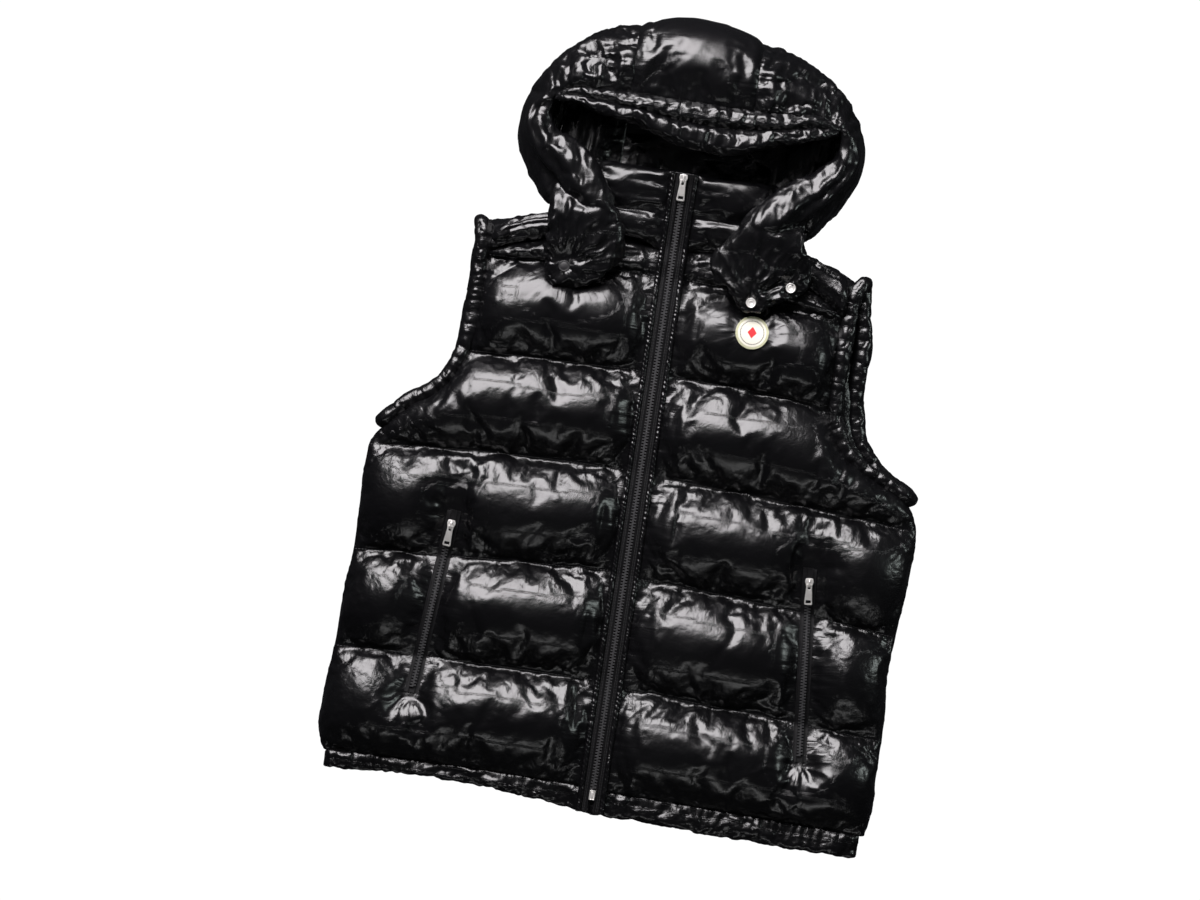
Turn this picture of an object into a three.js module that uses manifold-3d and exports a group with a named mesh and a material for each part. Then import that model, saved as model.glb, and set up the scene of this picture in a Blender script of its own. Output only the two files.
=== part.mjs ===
// A hooded down vest laid flat on its back, zipped up, with its hood open above the collar.
// Millimetres. +Z is up, +Y runs from the hem to the hood, +X to the wearer's left.
// Y is measured from the hem's zip end while building; the last lines move the origin under the
// middle of the whole vest. Every cloth piece is a padded wall: a plain inside, a quilted outside.
import * as THREE from "three";
import { mergeVertices } from "three/addons/utils/BufferGeometryUtils.js";
import Module from "manifold-3d";

const wasm = await Module();
wasm.setup();

// Driving sizes
const SEAM_GAP = 0.3;
const BACK_THICK = 32; // the down of the back, pressed by the vest's weight
const FRONT_FLOOR = BACK_THICK + SEAM_GAP; // plain inside of the fronts
const EDGE_WALL = 3;
const SEAM_WALL = 7; // wall left under a quilting seam
const LOFT = 31; // rise of a baffle above its seams
const SIDE_ROUND = 68; // how far in from the side seam a baffle is still rounding up
const ARM_ROUND = 30;
const PLACKET = 14.5; // half width of the flat strip under the front zip
const PLACKET_SEAT = 12;
const PLACKET_WAVE = 3;
const PLACKET_RISE = 42; // how far from the flat strip a baffle is still rising
const POCKET_HALF = 9; // half width of the channel that a pocket zip lies in
const BINDING_WIDE = 12.5;
const BINDING_TALL = 11;
const HOOD_WALL = 6;
const HOOD_PAD = 7;
const HOOD_FLOOR = 8.5; // level of the hood's back where it lies on the table
const TAPE_THICK = 1.6;
const CHAIN_HALF = 3;
const CHAIN_TALL = 2.8;

// Quilting seams of the fronts, from the hem up: height at the zip, halfway, and at the side.
const SEAMS = {
  right: [
    { name: "hem", zip: 15, half: 17, side: 14 },
    { name: "first", zip: 128, half: 127, side: 124 },
    { name: "second", zip: 245, half: 237, side: 227 },
    { name: "third", zip: 351, half: 349, side: 338 },
    { name: "fourth", zip: 457, half: 453, side: 448 },
    { name: "fifth", zip: 559, half: 555, side: 552 },
    { name: "yoke", zip: 582, half: 588, side: 558 },
  ],
  left: [
    { name: "hem", zip: 13, half: 11, side: 7 },
    { name: "first", zip: 123, half: 117, side: 108 },
    { name: "second", zip: 240, half: 233, side: 218 },
    { name: "third", zip: 349, half: 342, side: 331 },
    { name: "fourth", zip: 455, half: 451, side: 442 },
    { name: "fifth", zip: 559, half: 550, side: 536 },
    { name: "yoke", zip: 582, half: 588, side: 543 },
  ],
};

// Outer edge of a front from the hem, up the side seam and round the armhole to the shoulder.
const FRONT_EDGE = {
  right: [
    { y: 14, x: 287 },
    { y: 34, x: 296 },
    { y: 63, x: 296 },
    { y: 126, x: 292 },
    { y: 189, x: 290 },
    { y: 236, x: 286 },
    { y: 284, x: 288 },
    { y: 335, x: 287 },
    { y: 352, x: 281 },
    { y: 364, x: 270 },
    { y: 381, x: 254 },
    { y: 391, x: 240 },
    { y: 400, x: 226 },
    { y: 415, x: 213 },
    { y: 436, x: 203 },
    { y: 462, x: 196 },
    { y: 504, x: 193 },
    { y: 546, x: 193 },
    { y: 590, x: 197 },
  ],
  left: [
    { y: 6, x: 289 },
    { y: 32, x: 294 },
    { y: 63, x: 293 },
    { y: 126, x: 293 },
    { y: 173, x: 289 },
    { y: 218, x: 291 },
    { y: 262, x: 295 },
    { y: 315, x: 298 },
    { y: 341, x: 294 },
    { y: 354, x: 287 },
    { y: 363, x: 276 },
    { y: 373, x: 256 },
    { y: 384, x: 230 },
    { y: 401, x: 207 },
    { y: 428, x: 192 },
    { y: 455, x: 187 },
    { y: 504, x: 186 },
    { y: 546, x: 188 },
    { y: 582, x: 193 },
  ],
};

// The back's armhole, which stands out beyond the front's on the left.
const BACK_ARMHOLE = {
  right: [
    { y: 364, x: 270 },
    { y: 381, x: 254 },
    { y: 391, x: 240 },
    { y: 400, x: 226 },
    { y: 415, x: 213 },
    { y: 436, x: 203 },
    { y: 462, x: 196 },
    { y: 504, x: 194 },
    { y: 546, x: 194 },
    { y: 586, x: 196 },
  ],
  left: [
    { y: 363, x: 279 },
    { y: 373, x: 264 },
    { y: 382, x: 248 },
    { y: 398, x: 233 },
    { y: 418, x: 218 },
    { y: 438, x: 213 },
    { y: 472, x: 207 },
    { y: 510, x: 208 },
    { y: 549, x: 203 },
    { y: 583, x: 198 },
  ],
};

const UNDERARM = { right: 364, left: 363 };
const SHOULDER = { right: { y: 590, neck: 613 }, left: { y: 582, neck: 613 } };
const NECK_X = 106; // where the neckline meets the shoulder
const BACK_NECK_Y = 603;
// Where the armhole binding turns from the front's edge to the back's.
const SHOULDER_TURN = { right: { x: 205, y: 589 }, left: { x: 206.4, y: 585 } };
const UNDERARM_TURN = { right: { x: 277, y: 365 }, left: { x: 286, y: 364 } };

// Slanted pocket zips: place of each end.
const POCKETS = {
  right: { topY: 284, topX: 187, lowY: 86, lowX: 204 },
  left: { topY: 279, topX: 191, lowY: 74, lowX: 210 },
};

// The hem band's lower edge.
const HEM = {
  right: { zip: -12, half: 1, side: -5, wide: 284 },
  left: { zip: -12, half: -16, side: -18, wide: 284 },
};

// Ribs of a hood side panel, from the centre panel's seam round to the neck. e is the edge on the
// brim band, o the hood's outline seen from above, under the y where the rib ends below.
const HOOD_RIBS = {
  right: [
    { name: "centre", ex: 69, ey: 742, ez: 96, ox: 69, oy: 811, crest: 104, under: 776 },
    { name: "crown", ex: 103, ey: 742, ez: 94, ox: 111, oy: 789, crest: 100, under: 768 },
    { name: "temple", ex: 132, ey: 739, ez: 88, ox: 148, oy: 758, crest: 92, under: 750 },
    { name: "corner", ex: 151, ey: 722, ez: 80, ox: 164, oy: 725, crest: 80, under: 724 },
    { name: "cheek", ex: 136, ey: 702, ez: 77, ox: 170, oy: 691, crest: 78, under: 690 },
    { name: "jaw", ex: 103, ey: 676, ez: 80, ox: 163, oy: 664, crest: 82, under: 662 },
    { name: "throat", ex: 79, ey: 644, ez: 83, ox: 146, oy: 638, crest: 86, under: 636 },
    { name: "neck", ex: 62, ey: 619.5, ez: 84, ox: 138, oy: 619.5, crest: 88, under: 619.5 },
  ],
  left: [
    { name: "centre", ex: 61, ey: 742, ez: 96, ox: 61, oy: 811, crest: 104, under: 776 },
    { name: "crown", ex: 98, ey: 744, ez: 94, ox: 108, oy: 791, crest: 100, under: 768 },
    { name: "temple", ex: 130, ey: 747, ez: 88, ox: 151, oy: 766, crest: 92, under: 754 },
    { name: "corner", ex: 158, ey: 732, ez: 80, ox: 169, oy: 734, crest: 80, under: 732 },
    { name: "cheek", ex: 140, ey: 706, ez: 77, ox: 174, oy: 697, crest: 78, under: 694 },
    { name: "jaw", ex: 105, ey: 676, ez: 80, ox: 162, oy: 666, crest: 82, under: 664 },
    { name: "throat", ex: 74, ey: 640, ez: 83, ox: 143, oy: 638, crest: 86, under: 636 },
    { name: "neck", ex: 60, ey: 619.5, ez: 84, ox: 135, oy: 619.5, crest: 88, under: 619.5 },
  ],
};

// The two gathered bands of the brim, from the wearer's right corner to the left one.
const BRIM = [
  { x: -158, edge: 724, z: 80 },
  { x: -137, edge: 722, z: 87 },
  { x: -103, edge: 716, z: 93 },
  { x: -69, edge: 710, z: 96 },
  { x: -15, edge: 695, z: 97 },
  { x: 31, edge: 691, z: 97 },
  { x: 61, edge: 696, z: 96 },
  { x: 100, edge: 710, z: 93 },
  { x: 133, edge: 722, z: 88 },
  { x: 161, edge: 732, z: 80 },
];
const BRIM_MIDDLE = 0.44; // seam between the two bands, as a share of the way to the edge

// The hood's snap flaps, from the neck down to the rounded tip.
const FLAP_ROWS = {
  right: [
    { y: 644, inner: 90, outer: 128, z: 64 },
    { y: 618, inner: 62, outer: 136, z: 75 },
    { y: 594, inner: 53, outer: 139, z: 70 },
    { y: 572, inner: 52, outer: 138, z: 66 },
    { y: 553, inner: 61, outer: 135, z: 66 },
    { y: 538, inner: 81, outer: 128, z: 68 },
    { y: 531, inner: 99, outer: 117, z: 69 },
  ],
  left: [
    { y: 644, inner: 86, outer: 124, z: 64 },
    { y: 618, inner: 60, outer: 134, z: 75 },
    { y: 600, inner: 49, outer: 140, z: 71 },
    { y: 579, inner: 41, outer: 147, z: 66 },
    { y: 562, inner: 48, outer: 144, z: 66 },
    { y: 546, inner: 65, outer: 126, z: 68 },
    { y: 533, inner: 79, outer: 101, z: 69 },
  ],
};

const SNAPS = [
  { name: "snap_cap_right", x: -111, y: 553, open: false },
  { name: "snap_ring_left_inner", x: 88, y: 543.5, open: true },
  { name: "snap_ring_left_outer", x: 127, y: 565, open: true },
];
const SNAP_RADIUS = 5.8;

const COLLAR = { topY: 670, lean: 16 };
const COLLAR_FRONT_Z = 37;
const COLLAR_BACK_Z = 20.8;
const COLLAR_WALL = 6;
const COLLAR_PAD = 8;

const BADGE = { x: 94, y: 513, radius: 17.5, thick: 2.4 };

const ZIP_TOP = 668;
const ZIP_LOW = -11;
const SLIDER = { long: 9.5, wide: 9, tall: 3.4, bailLong: 7.4, bailThick: 1, bailWide: 1.8 };
const PULL = { long: 22, neck: 6, wide: 8.6, thick: 1.2, bar: 1.2, eyeLong: 5.2, eyeWide: 2.8 };
const PULL_WINDOW = { wide: 5.4, tall: 3.4, rim: 1.7 };
const PIVOT_ABOVE = 1.2; // the pull's pivot above its slider's top
const PULL_REST = 0.08; // how far a pull tips down to its tape

const ARMHOLE_GATHERS = 20;
const HEM_GATHERS = 9;
const BRIM_GATHERS = 22;

const { lerp, clamp, smoothstep } = THREE.MathUtils;
const point = (x, y, z) => new THREE.Vector3(x, y, z);

// Colours and finish as the photo shows them.
const MATERIALS = {
  shell: new THREE.MeshStandardMaterial({ color: 0x0c0c0f, roughness: 0.22, metalness: 0 }),
  tape: new THREE.MeshStandardMaterial({ color: 0x08080a, roughness: 0.75, metalness: 0 }),
  chain: new THREE.MeshStandardMaterial({ color: 0x0a0a0b, roughness: 0.35, metalness: 0 }),
  metal: new THREE.MeshStandardMaterial({ color: 0xb9b3a8, roughness: 0.3, metalness: 1 }),
  cap: new THREE.MeshStandardMaterial({ color: 0x222226, roughness: 0.5, metalness: 0 }),
  badge: new THREE.MeshStandardMaterial({ color: 0xd9d5bd, roughness: 0.9, metalness: 0 }),
};

const vest = new THREE.Group();

// Adds a named piece to the vest, or to a group given in its place.
function piece(name, geometry, material, holder = vest) {
  const mesh = new THREE.Mesh(geometry, MATERIALS[material]);
  mesh.name = name;
  holder.add(mesh);
  return mesh;
}

// Reads a table as a smooth curve: value of one column where another column has the given value.
function readTable(rows, key, column, at) {
  const last = rows.length - 1;
  const rising = rows[last][key] > rows[0][key];
  const passed = (row) => (rising ? row[key] <= at : row[key] >= at);
  let i = 0;
  while (i < last - 1 && passed(rows[i + 1])) i += 1;
  const before = rows[Math.max(i - 1, 0)];
  const from = rows[i];
  const to = rows[i + 1];
  const after = rows[Math.min(i + 2, last)];
  const span = to[key] - from[key];
  const t = clamp((at - from[key]) / span, 0, 1);
  const slopeFrom = ((to[column] - before[column]) / (to[key] - before[key])) * span;
  const slopeTo = ((after[column] - from[column]) / (after[key] - from[key])) * span;
  const t2 = t * t;
  const t3 = t2 * t;
  return (
    (2 * t3 - 3 * t2 + 1) * from[column] +
    (t3 - 2 * t2 + t) * slopeFrom +
    (3 * t2 - 2 * t3) * to[column] +
    (t3 - t2) * slopeTo
  );
}

// A quadratic through the values at the zip, halfway and at the side.
function seamHeight(row, across) {
  const bend = 2 * (row.zip - 2 * row.half + row.side);
  return row.zip + (row.side - row.zip - bend) * across + bend * across * across;
}

// The rounded profile of a filled channel: 0 at its seams, 1 along its middle.
const arch = (t) => Math.pow(1 - Math.pow(Math.abs(2 * t - 1), 2.2), 0.55);

// The crown of a front's baffle, rounder than a tight roll because its down settles to the middle.
const crown = (t) => Math.pow(1 - Math.pow(Math.abs(2 * t - 1), 1.9), 0.85);

// A quarter round: rises steeply from 0 and levels out at 1.
const quarterRound = (t) => Math.sqrt(1 - Math.pow(1 - clamp(t, 0, 1), 2));

// Closes a list of points and triangles into a solid whose faces point out.
function solidGeometry(points, triangles) {
  let volume = 0;
  for (const [a, b, c] of triangles) {
    const cross = new THREE.Vector3().crossVectors(points[b], points[c]);
    volume += points[a].dot(cross);
  }
  const facing = volume < 0 ? triangles.map(([a, b, c]) => [a, c, b]) : triangles;
  const geometry = new THREE.BufferGeometry().setFromPoints(points);
  geometry.setIndex(facing.flat());
  geometry.computeVertexNormals();
  return geometry;
}

// A padded wall between two grids of points, [row][column], with its four edges closed.
function wallBetween(outer, inner) {
  const rows = outer.length;
  const columns = outer[0].length;
  const points = [...outer.flat(), ...inner.flat()];
  const triangles = [];
  const quad = (a, b, c, d) => triangles.push([a, b, c], [a, c, d]);
  const top = (i, j) => i * columns + j;
  const under = (i, j) => rows * columns + i * columns + j;
  for (let i = 0; i < rows - 1; i += 1) {
    for (let j = 0; j < columns - 1; j += 1) {
      quad(top(i, j), top(i, j + 1), top(i + 1, j + 1), top(i + 1, j));
      quad(under(i, j), under(i + 1, j), under(i + 1, j + 1), under(i, j + 1));
    }
    quad(top(i, 0), top(i + 1, 0), under(i + 1, 0), under(i, 0));
    const last = columns - 1;
    quad(top(i, last), under(i, last), under(i + 1, last), top(i + 1, last));
  }
  for (let j = 0; j < columns - 1; j += 1) {
    quad(top(0, j), under(0, j), under(0, j + 1), top(0, j + 1));
    const last = rows - 1;
    quad(top(last, j), top(last, j + 1), under(last, j + 1), under(last, j));
  }
  return solidGeometry(points, triangles);
}

// A solid swept through loops of points: a ring, or a bar with flat ends.
function sweepLoops(loops, ring = false) {
  const count = loops[0].length;
  const points = loops.flat();
  const triangles = [];
  const spans = ring ? loops.length : loops.length - 1;
  for (let i = 0; i < spans; i += 1) {
    const next = (i + 1) % loops.length;
    for (let j = 0; j < count; j += 1) {
      const k = (j + 1) % count;
      const a = i * count + j;
      const b = i * count + k;
      triangles.push([a, b, next * count + k], [a, next * count + k, next * count + j]);
    }
  }
  if (!ring) {
    const end = (loops.length - 1) * count;
    for (let j = 1; j < count - 1; j += 1) {
      triangles.push([0, j + 1, j], [end, end + j, end + j + 1]);
    }
  }
  return solidGeometry(points, triangles);
}

// Normals of a grid of points, from its neighbours along and across.
function gridNormals(grid, towards) {
  const rows = grid.length;
  const columns = grid[0].length;
  const at = (i, j) => grid[clamp(i, 0, rows - 1)][clamp(j, 0, columns - 1)];
  return grid.map((row, i) =>
    row.map((here, j) => {
      const along = point().subVectors(at(i + 1, j), at(i - 1, j));
      const across = point().subVectors(at(i, j + 1), at(i, j - 1));
      return along.cross(across).normalize().multiplyScalar(towards);
    }),
  );
}

// Turns a geometry into a manifold-3d solid, and back.
function toSolid(geometry) {
  const bare = new THREE.BufferGeometry();
  const source = geometry.index ? geometry.toNonIndexed() : geometry;
  bare.setAttribute("position", source.getAttribute("position"));
  const merged = mergeVertices(bare, 1e-3);
  return new wasm.Manifold(
    new wasm.Mesh({
      numProp: 3,
      vertProperties: merged.attributes.position.array,
      triVerts: new Uint32Array(merged.index.array),
    }),
  );
}

function fromSolid(solid) {
  const mesh = solid.getMesh();
  const geometry = new THREE.BufferGeometry();
  geometry.setAttribute("position", new THREE.BufferAttribute(mesh.vertProperties, 3));
  geometry.setIndex(new THREE.BufferAttribute(mesh.triVerts, 1));
  geometry.computeVertexNormals();
  return geometry;
}

// Merges the flat triangles of a piece's plain inside.
const PLAIN = 0.02;
const thinned = (geometry) => fromSolid(toSolid(geometry).simplify(PLAIN));

// Fronts: shared rules for where a grid point of a front panel lies.
const BAFFLE_STEPS = [0, 0.08, 0.24, 0.41, 0.59, 0.76, 0.92];
const ARMHOLE_STEPS = [0, 0.08, 0.19, 0.3, 0.42, 0.54, 0.66, 0.79, 0.92];
const ARMHOLE_BAFFLE = 3; // the baffle that the armhole's hollow cuts into
const WEDGE_STEPS = [0, 0.25, 0.6, 1];
const TO_POCKET = [0.05, 0.16, 0.4, 0.7, 0.9];
const TO_SIDE = [0.14, 0.42, 0.7, 0.87, 0.96, 1];

function pocketX(side, y) {
  const { topY, topX, lowY, lowX } = POCKETS[side];
  const slanted = lerp(lowX, topX, clamp((y - lowY) / (topY - lowY), -0.4, 1));
  const narrowing = smoothstep(y, topY, 600);
  return lerp(slanted, 142, narrowing);
}

function frontX(side, y, column) {
  const pocket = pocketX(side, y);
  const edge = readTable(FRONT_EDGE[side], "y", "x", y);
  if (column === 0) return SEAM_GAP / 2;
  if (column === 1) return PLACKET;
  const between = column - 2;
  if (between < TO_POCKET.length) {
    return lerp(PLACKET, pocket - POCKET_HALF, TO_POCKET[between]);
  }
  const past = between - TO_POCKET.length;
  if (past === 0) return pocket - POCKET_HALF;
  if (past === 1) return pocket + POCKET_HALF;
  return lerp(pocket + POCKET_HALF, edge, TO_SIDE[past - 2]);
}
const FRONT_COLUMNS = 4 + TO_POCKET.length + TO_SIDE.length;

// Height of the flat strip under the front zip, dipping a little at each seam.
function placketTop(side, y) {
  const seams = SEAMS[side];
  let k = 0;
  while (k < seams.length - 2 && y > seams[k + 1].zip) k += 1;
  const t = clamp((y - seams[k].zip) / (seams[k + 1].zip - seams[k].zip), 0, 1);
  const lift = smoothstep(y, 560, COLLAR.topY) * COLLAR.lean;
  return FRONT_FLOOR + PLACKET_SEAT + PLACKET_WAVE * arch(t) + lift;
}

// How much of the loft the pocket channel leaves at a place.
function pocketChannel(side, x, y) {
  const { topY, lowY } = POCKETS[side];
  const ends = smoothstep(y, lowY - 34, lowY + 4) * (1 - smoothstep(y, topY - 8, topY + 52));
  const off = Math.max(Math.abs(x - pocketX(side, y)) - POCKET_HALF, 0);
  return 1 - 0.68 * ends * Math.exp(-Math.pow(off / 16, 2));
}

function frontTop(side, x, y, t, baffle) {
  const edge = readTable(FRONT_EDGE[side], "y", "x", y);
  const round = lerp(SIDE_ROUND, ARM_ROUND, smoothstep(y, UNDERARM[side] - 30, UNDERARM[side] + 60));
  const fromSide = quarterRound((edge - x) / round);
  const fromZip = Math.pow(quarterRound((x - PLACKET) / PLACKET_RISE), 1.3);
  const loft = LOFT * (baffle === SEAMS[side].length - 2 ? 0.55 : 1);
  const puff = loft * crown(t) * fromZip * pocketChannel(side, x, y);
  return FRONT_FLOOR + EDGE_WALL + fromSide * (SEAM_WALL - EDGE_WALL + puff);
}

function frontGrid(side) {
  const seams = SEAMS[side];
  const sign = side === "right" ? -1 : 1;
  const top = [];
  const floor = [];
  const addRow = (baffle, t) => {
    const topRow = [];
    const floorRow = [];
    for (let column = 0; column < FRONT_COLUMNS; column += 1) {
      let y = lerp(seams[baffle].half, seams[baffle + 1].half, t);
      let x = 0;
      for (let pass = 0; pass < 4; pass += 1) {
        x = frontX(side, y, column);
        const across = x / readTable(FRONT_EDGE[side], "y", "x", y);
        const low = seamHeight(seams[baffle], across);
        const high = seamHeight(seams[baffle + 1], across);
        y = lerp(low, Math.max(high, low + 3), t);
      }
      const height = column < 2 ? placketTop(side, y) : frontTop(side, x, y, t, baffle);
      topRow.push(point(sign * x, y, height));
      floorRow.push(point(sign * x, y, FRONT_FLOOR));
    }
    top.push(topRow);
    floor.push(floorRow);
  };
  const wedge = seams.length - 2;
  for (let baffle = 0; baffle < wedge; baffle += 1) {
    const steps = baffle === ARMHOLE_BAFFLE ? ARMHOLE_STEPS : BAFFLE_STEPS;
    for (const t of steps) addRow(baffle, t);
  }
  for (const t of WEDGE_STEPS) addRow(wedge, t);
  return { top, floor };
}

// Back: flat lands where it rests, with a groove at each seam, and a plain inside.
const BACK_STEPS = [0, 0.07, 0.24, 0.76, 0.93];
const BACK_ACROSS = [0, 0.3, 0.6, 0.8, 0.92, 0.98, 1];
const GROOVE = 13;

function backEdge(side, y) {
  if (y < UNDERARM[side]) return readTable(FRONT_EDGE[side], "y", "x", y);
  return readTable(BACK_ARMHOLE[side], "y", "x", y);
}

function backSeamAt(row, x) {
  const right = seamHeight(SEAMS.right[row], clamp(-x / 290, 0, 1));
  const left = seamHeight(SEAMS.left[row], clamp(x / 290, 0, 1));
  return x < 0 ? lerp(SEAMS.left[row].zip, right, smoothstep(-x, 0, 120)) : left;
}

function backTopEdge(x) {
  const side = x < 0 ? "right" : "left";
  const out = Math.abs(x);
  if (out < NECK_X) return lerp(BACK_NECK_Y, SHOULDER[side].neck, Math.pow(out / NECK_X, 3));
  return lerp(SHOULDER[side].neck, SHOULDER[side].y, (out - NECK_X) / (202 - NECK_X));
}

function buildBack() {
  const under = [];
  const inside = [];
  const acrossAll = [...BACK_ACROSS.slice(1).reverse().map((u) => -u), ...BACK_ACROSS];
  const topRow = SEAMS.right.length - 2;
  const addRow = (row, t) => {
    const underRow = [];
    const insideRow = [];
    for (const u of acrossAll) {
      const side = u < 0 ? "right" : "left";
      let y = lerp(SEAMS[side][row].side, SEAMS[side][row + 1].side, t);
      let x = 0;
      for (let pass = 0; pass < 4; pass += 1) {
        x = u * backEdge(side, y);
        const high = row === topRow ? backTopEdge(x) : backSeamAt(row + 1, x);
        y = lerp(backSeamAt(row, x), high, t);
      }
      const edge = backEdge(side, y);
      const shoulder = row === topRow ? smoothstep(t, 0.5, 1) : 0;
      const fromSide = quarterRound((edge - Math.abs(x)) / 46);
      const rest = Math.min(1, 1.25 * arch(t));
      const depth = fromSide * (BACK_THICK - GROOVE * (1 - rest) - EDGE_WALL);
      underRow.push(point(x, y, BACK_THICK - EDGE_WALL - depth * (1 - 0.6 * shoulder)));
      insideRow.push(point(x, y, BACK_THICK));
    }
    under.push(underRow);
    inside.push(insideRow);
  };
  for (let row = 0; row <= topRow; row += 1) {
    const steps = row === ARMHOLE_BAFFLE ? ARMHOLE_STEPS : BACK_STEPS;
    for (const t of steps) addRow(row, t);
  }
  addRow(topRow, 1);
  return wallBetween(under, inside);
}

// Yokes: the shoulder pieces, from the slanting seam on the front up to the shoulder fold.
const YOKE_UP = [0, 0.12, 0.4, 0.7, 0.9, 1];
const YOKE_LOFT = 24;
const YOKE_FIRST_COLUMN = 5;

function buildYoke(side, grid) {
  const sign = side === "right" ? -1 : 1;
  const lowEdge = grid.top[grid.top.length - 1].slice(YOKE_FIRST_COLUMN);
  const outer = [];
  const inner = [];
  for (const v of YOKE_UP) {
    const outerRow = [];
    const innerRow = [];
    lowEdge.forEach((low, k) => {
      const u = k / (lowEdge.length - 1);
      const highX = lerp(NECK_X + 2, readTable(FRONT_EDGE[side], "y", "x", SHOULDER[side].y), u);
      const highY = lerp(SHOULDER[side].neck, SHOULDER[side].y, u);
      const x = lerp(Math.abs(low.x), highX, v);
      const y = lerp(low.y + SEAM_GAP, highY, v);
      const ends = quarterRound((1 - u) / 0.25) * quarterRound((u + 0.1) / 0.3);
      const puff = YOKE_LOFT * arch(clamp(0.06 + 0.94 * v, 0, 1)) * ends;
      outerRow.push(point(sign * x, y, FRONT_FLOOR + EDGE_WALL + 2 + puff));
      innerRow.push(point(sign * x, y, FRONT_FLOOR));
    });
    outer.push(outerRow);
    inner.push(innerRow);
  }
  return wallBetween(outer, inner);
}

// Hem bands: elastic casings under the first baffle, gathered towards the side seams.
const BAND_UP = [0, 0.2, 0.8, 1];

function bandStations(wide) {
  const plain = [0.15, 16, 50, 90, 130, 170];
  const steps = HEM_GATHERS * 3;
  const gathered = [];
  for (let i = 0; i <= steps; i += 1) gathered.push(lerp(200, wide, i / steps));
  return [...plain, ...gathered];
}

function buildHemBand(side) {
  const sign = side === "right" ? -1 : 1;
  const hem = HEM[side];
  const outer = [];
  const inner = [];
  for (const x of bandStations(hem.wide)) {
    const across = x / hem.wide;
    const low = seamHeight({ zip: hem.zip, half: hem.half, side: hem.side }, across);
    const high = seamHeight(SEAMS[side][0], across) - 2 * SEAM_GAP;
    const gather = 1.4 * Math.sin(((x - 200) / (hem.wide - 200)) * HEM_GATHERS * 2 * Math.PI);
    const wave = x >= 200 ? gather : 0;
    const fade = quarterRound((hem.wide - x + 2) / 22);
    outer.push(
      BAND_UP.map((t) => {
        const round = 5 * arch(clamp(t, 0.02, 0.98)) + wave * arch(t);
        const thick = (5 + round) * fade + 1;
        return point(sign * x, lerp(low, high, t), FRONT_FLOOR + thick);
      }),
    );
    inner.push(BAND_UP.map((t) => point(sign * x, lerp(low, high, t), FRONT_FLOOR)));
  }
  return wallBetween(outer, inner);
}

// The back's hem band runs whole across, so its two halves are one wall.
function buildBackHem() {
  const rightHalf = bandStations(HEM.right.wide).slice(1).map((x) => -x).reverse();
  const stations = [...rightHalf, ...bandStations(HEM.left.wide).slice(1)];
  const outer = [];
  const inner = [];
  for (const x of stations) {
    const side = x < 0 ? "right" : "left";
    const hem = HEM[side];
    const across = Math.abs(x) / hem.wide;
    const low = seamHeight(hem, across) + 3;
    const high = backSeamAt(0, x) - 2 * SEAM_GAP;
    const reach = hem.wide - 200;
    const gather = 1.4 * Math.sin(((Math.abs(x) - 200) / reach) * HEM_GATHERS * 2 * Math.PI);
    const wave = Math.abs(x) >= 200 ? gather : 0;
    const fade = quarterRound((hem.wide - Math.abs(x) + 2) / 22);
    outer.push(
      BAND_UP.map((t) => {
        const thick = (5 + (5 * arch(clamp(t, 0.02, 0.98)) + wave * arch(t))) * fade + 1;
        return point(x, lerp(low, high, t), BACK_THICK - thick);
      }),
    );
    inner.push(BAND_UP.map((t) => point(x, lerp(low, high, t), BACK_THICK)));
  }
  return wallBetween(outer, inner);
}

// Armhole binding: a gathered elastic tube, up the front's armhole edge, round the shoulder and
// down the back's.
const BINDING_SIDES = 6;
const BINDING_OUT = 6.6; // from the panel's edge to the middle of the tube
const FRONT_BINDING_Z = FRONT_FLOOR + BINDING_TALL / 2 + 1.2;
const BACK_BINDING_Z = BACK_THICK - BINDING_TALL / 2 - 1.6;

function bindingLine(side) {
  const offset = (rows, z) => {
    const last = SHOULDER[side].y - 9;
    const inRange = rows.filter((row) => row.y >= UNDERARM[side] && row.y < last - 12);
    const ended = [...inRange, { y: last, x: readTable(rows, "y", "x", last) }];
    return ended.map((row, i) => {
      const before = ended[Math.max(i - 1, 0)];
      const after = ended[Math.min(i + 1, ended.length - 1)];
      const away = point(after.y - before.y, before.x - after.x, 0).normalize();
      const place = point(row.x, row.y, z).addScaledVector(away, BINDING_OUT);
      return { place, away };
    });
  };
  const turn = (at, away) => ({ place: point(at.x, at.y, BACK_THICK), away });
  const front = offset(FRONT_EDGE[side], FRONT_BINDING_Z);
  const back = offset(BACK_ARMHOLE[side], BACK_BINDING_Z).reverse();
  const shoulder = turn(SHOULDER_TURN[side], point(1, 0, 0));
  const underarm = turn(UNDERARM_TURN[side], front[0].away);
  return [...front, shoulder, ...back, underarm];
}

function buildBinding(side) {
  const sign = side === "right" ? -1 : 1;
  const stations = bindingLine(side);
  const line = new THREE.CatmullRomCurve3(stations.map((s) => s.place), true, "centripetal");
  const aways = new THREE.CatmullRomCurve3(stations.map((s) => s.away), true, "centripetal");
  const steps = ARMHOLE_GATHERS * 2 * 3;
  const loops = [];
  for (let i = 0; i < steps; i += 1) {
    const t = line.getUtoTmapping(i / steps);
    const at = line.getPoint(t);
    const run = line.getTangent(t);
    const away = aways.getPoint(t);
    away.addScaledVector(run, -away.dot(run)).normalize();
    const up = point().crossVectors(away, run);
    const gather = 1 + 0.16 * Math.sin((i / 3) * 2 * Math.PI + 0.5);
    const loop = [];
    for (let k = 0; k < BINDING_SIDES; k += 1) {
      const angle = ((k + 0.5) / BINDING_SIDES) * 2 * Math.PI;
      const place = at
        .clone()
        .addScaledVector(away, (BINDING_WIDE / 2) * Math.cos(angle))
        .addScaledVector(up, (BINDING_TALL / 2) * Math.sin(angle) * gather);
      loop.push(point(sign * place.x, place.y, place.z));
    }
    loops.push(loop);
  }
  return sweepLoops(loops, true);
}

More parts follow.
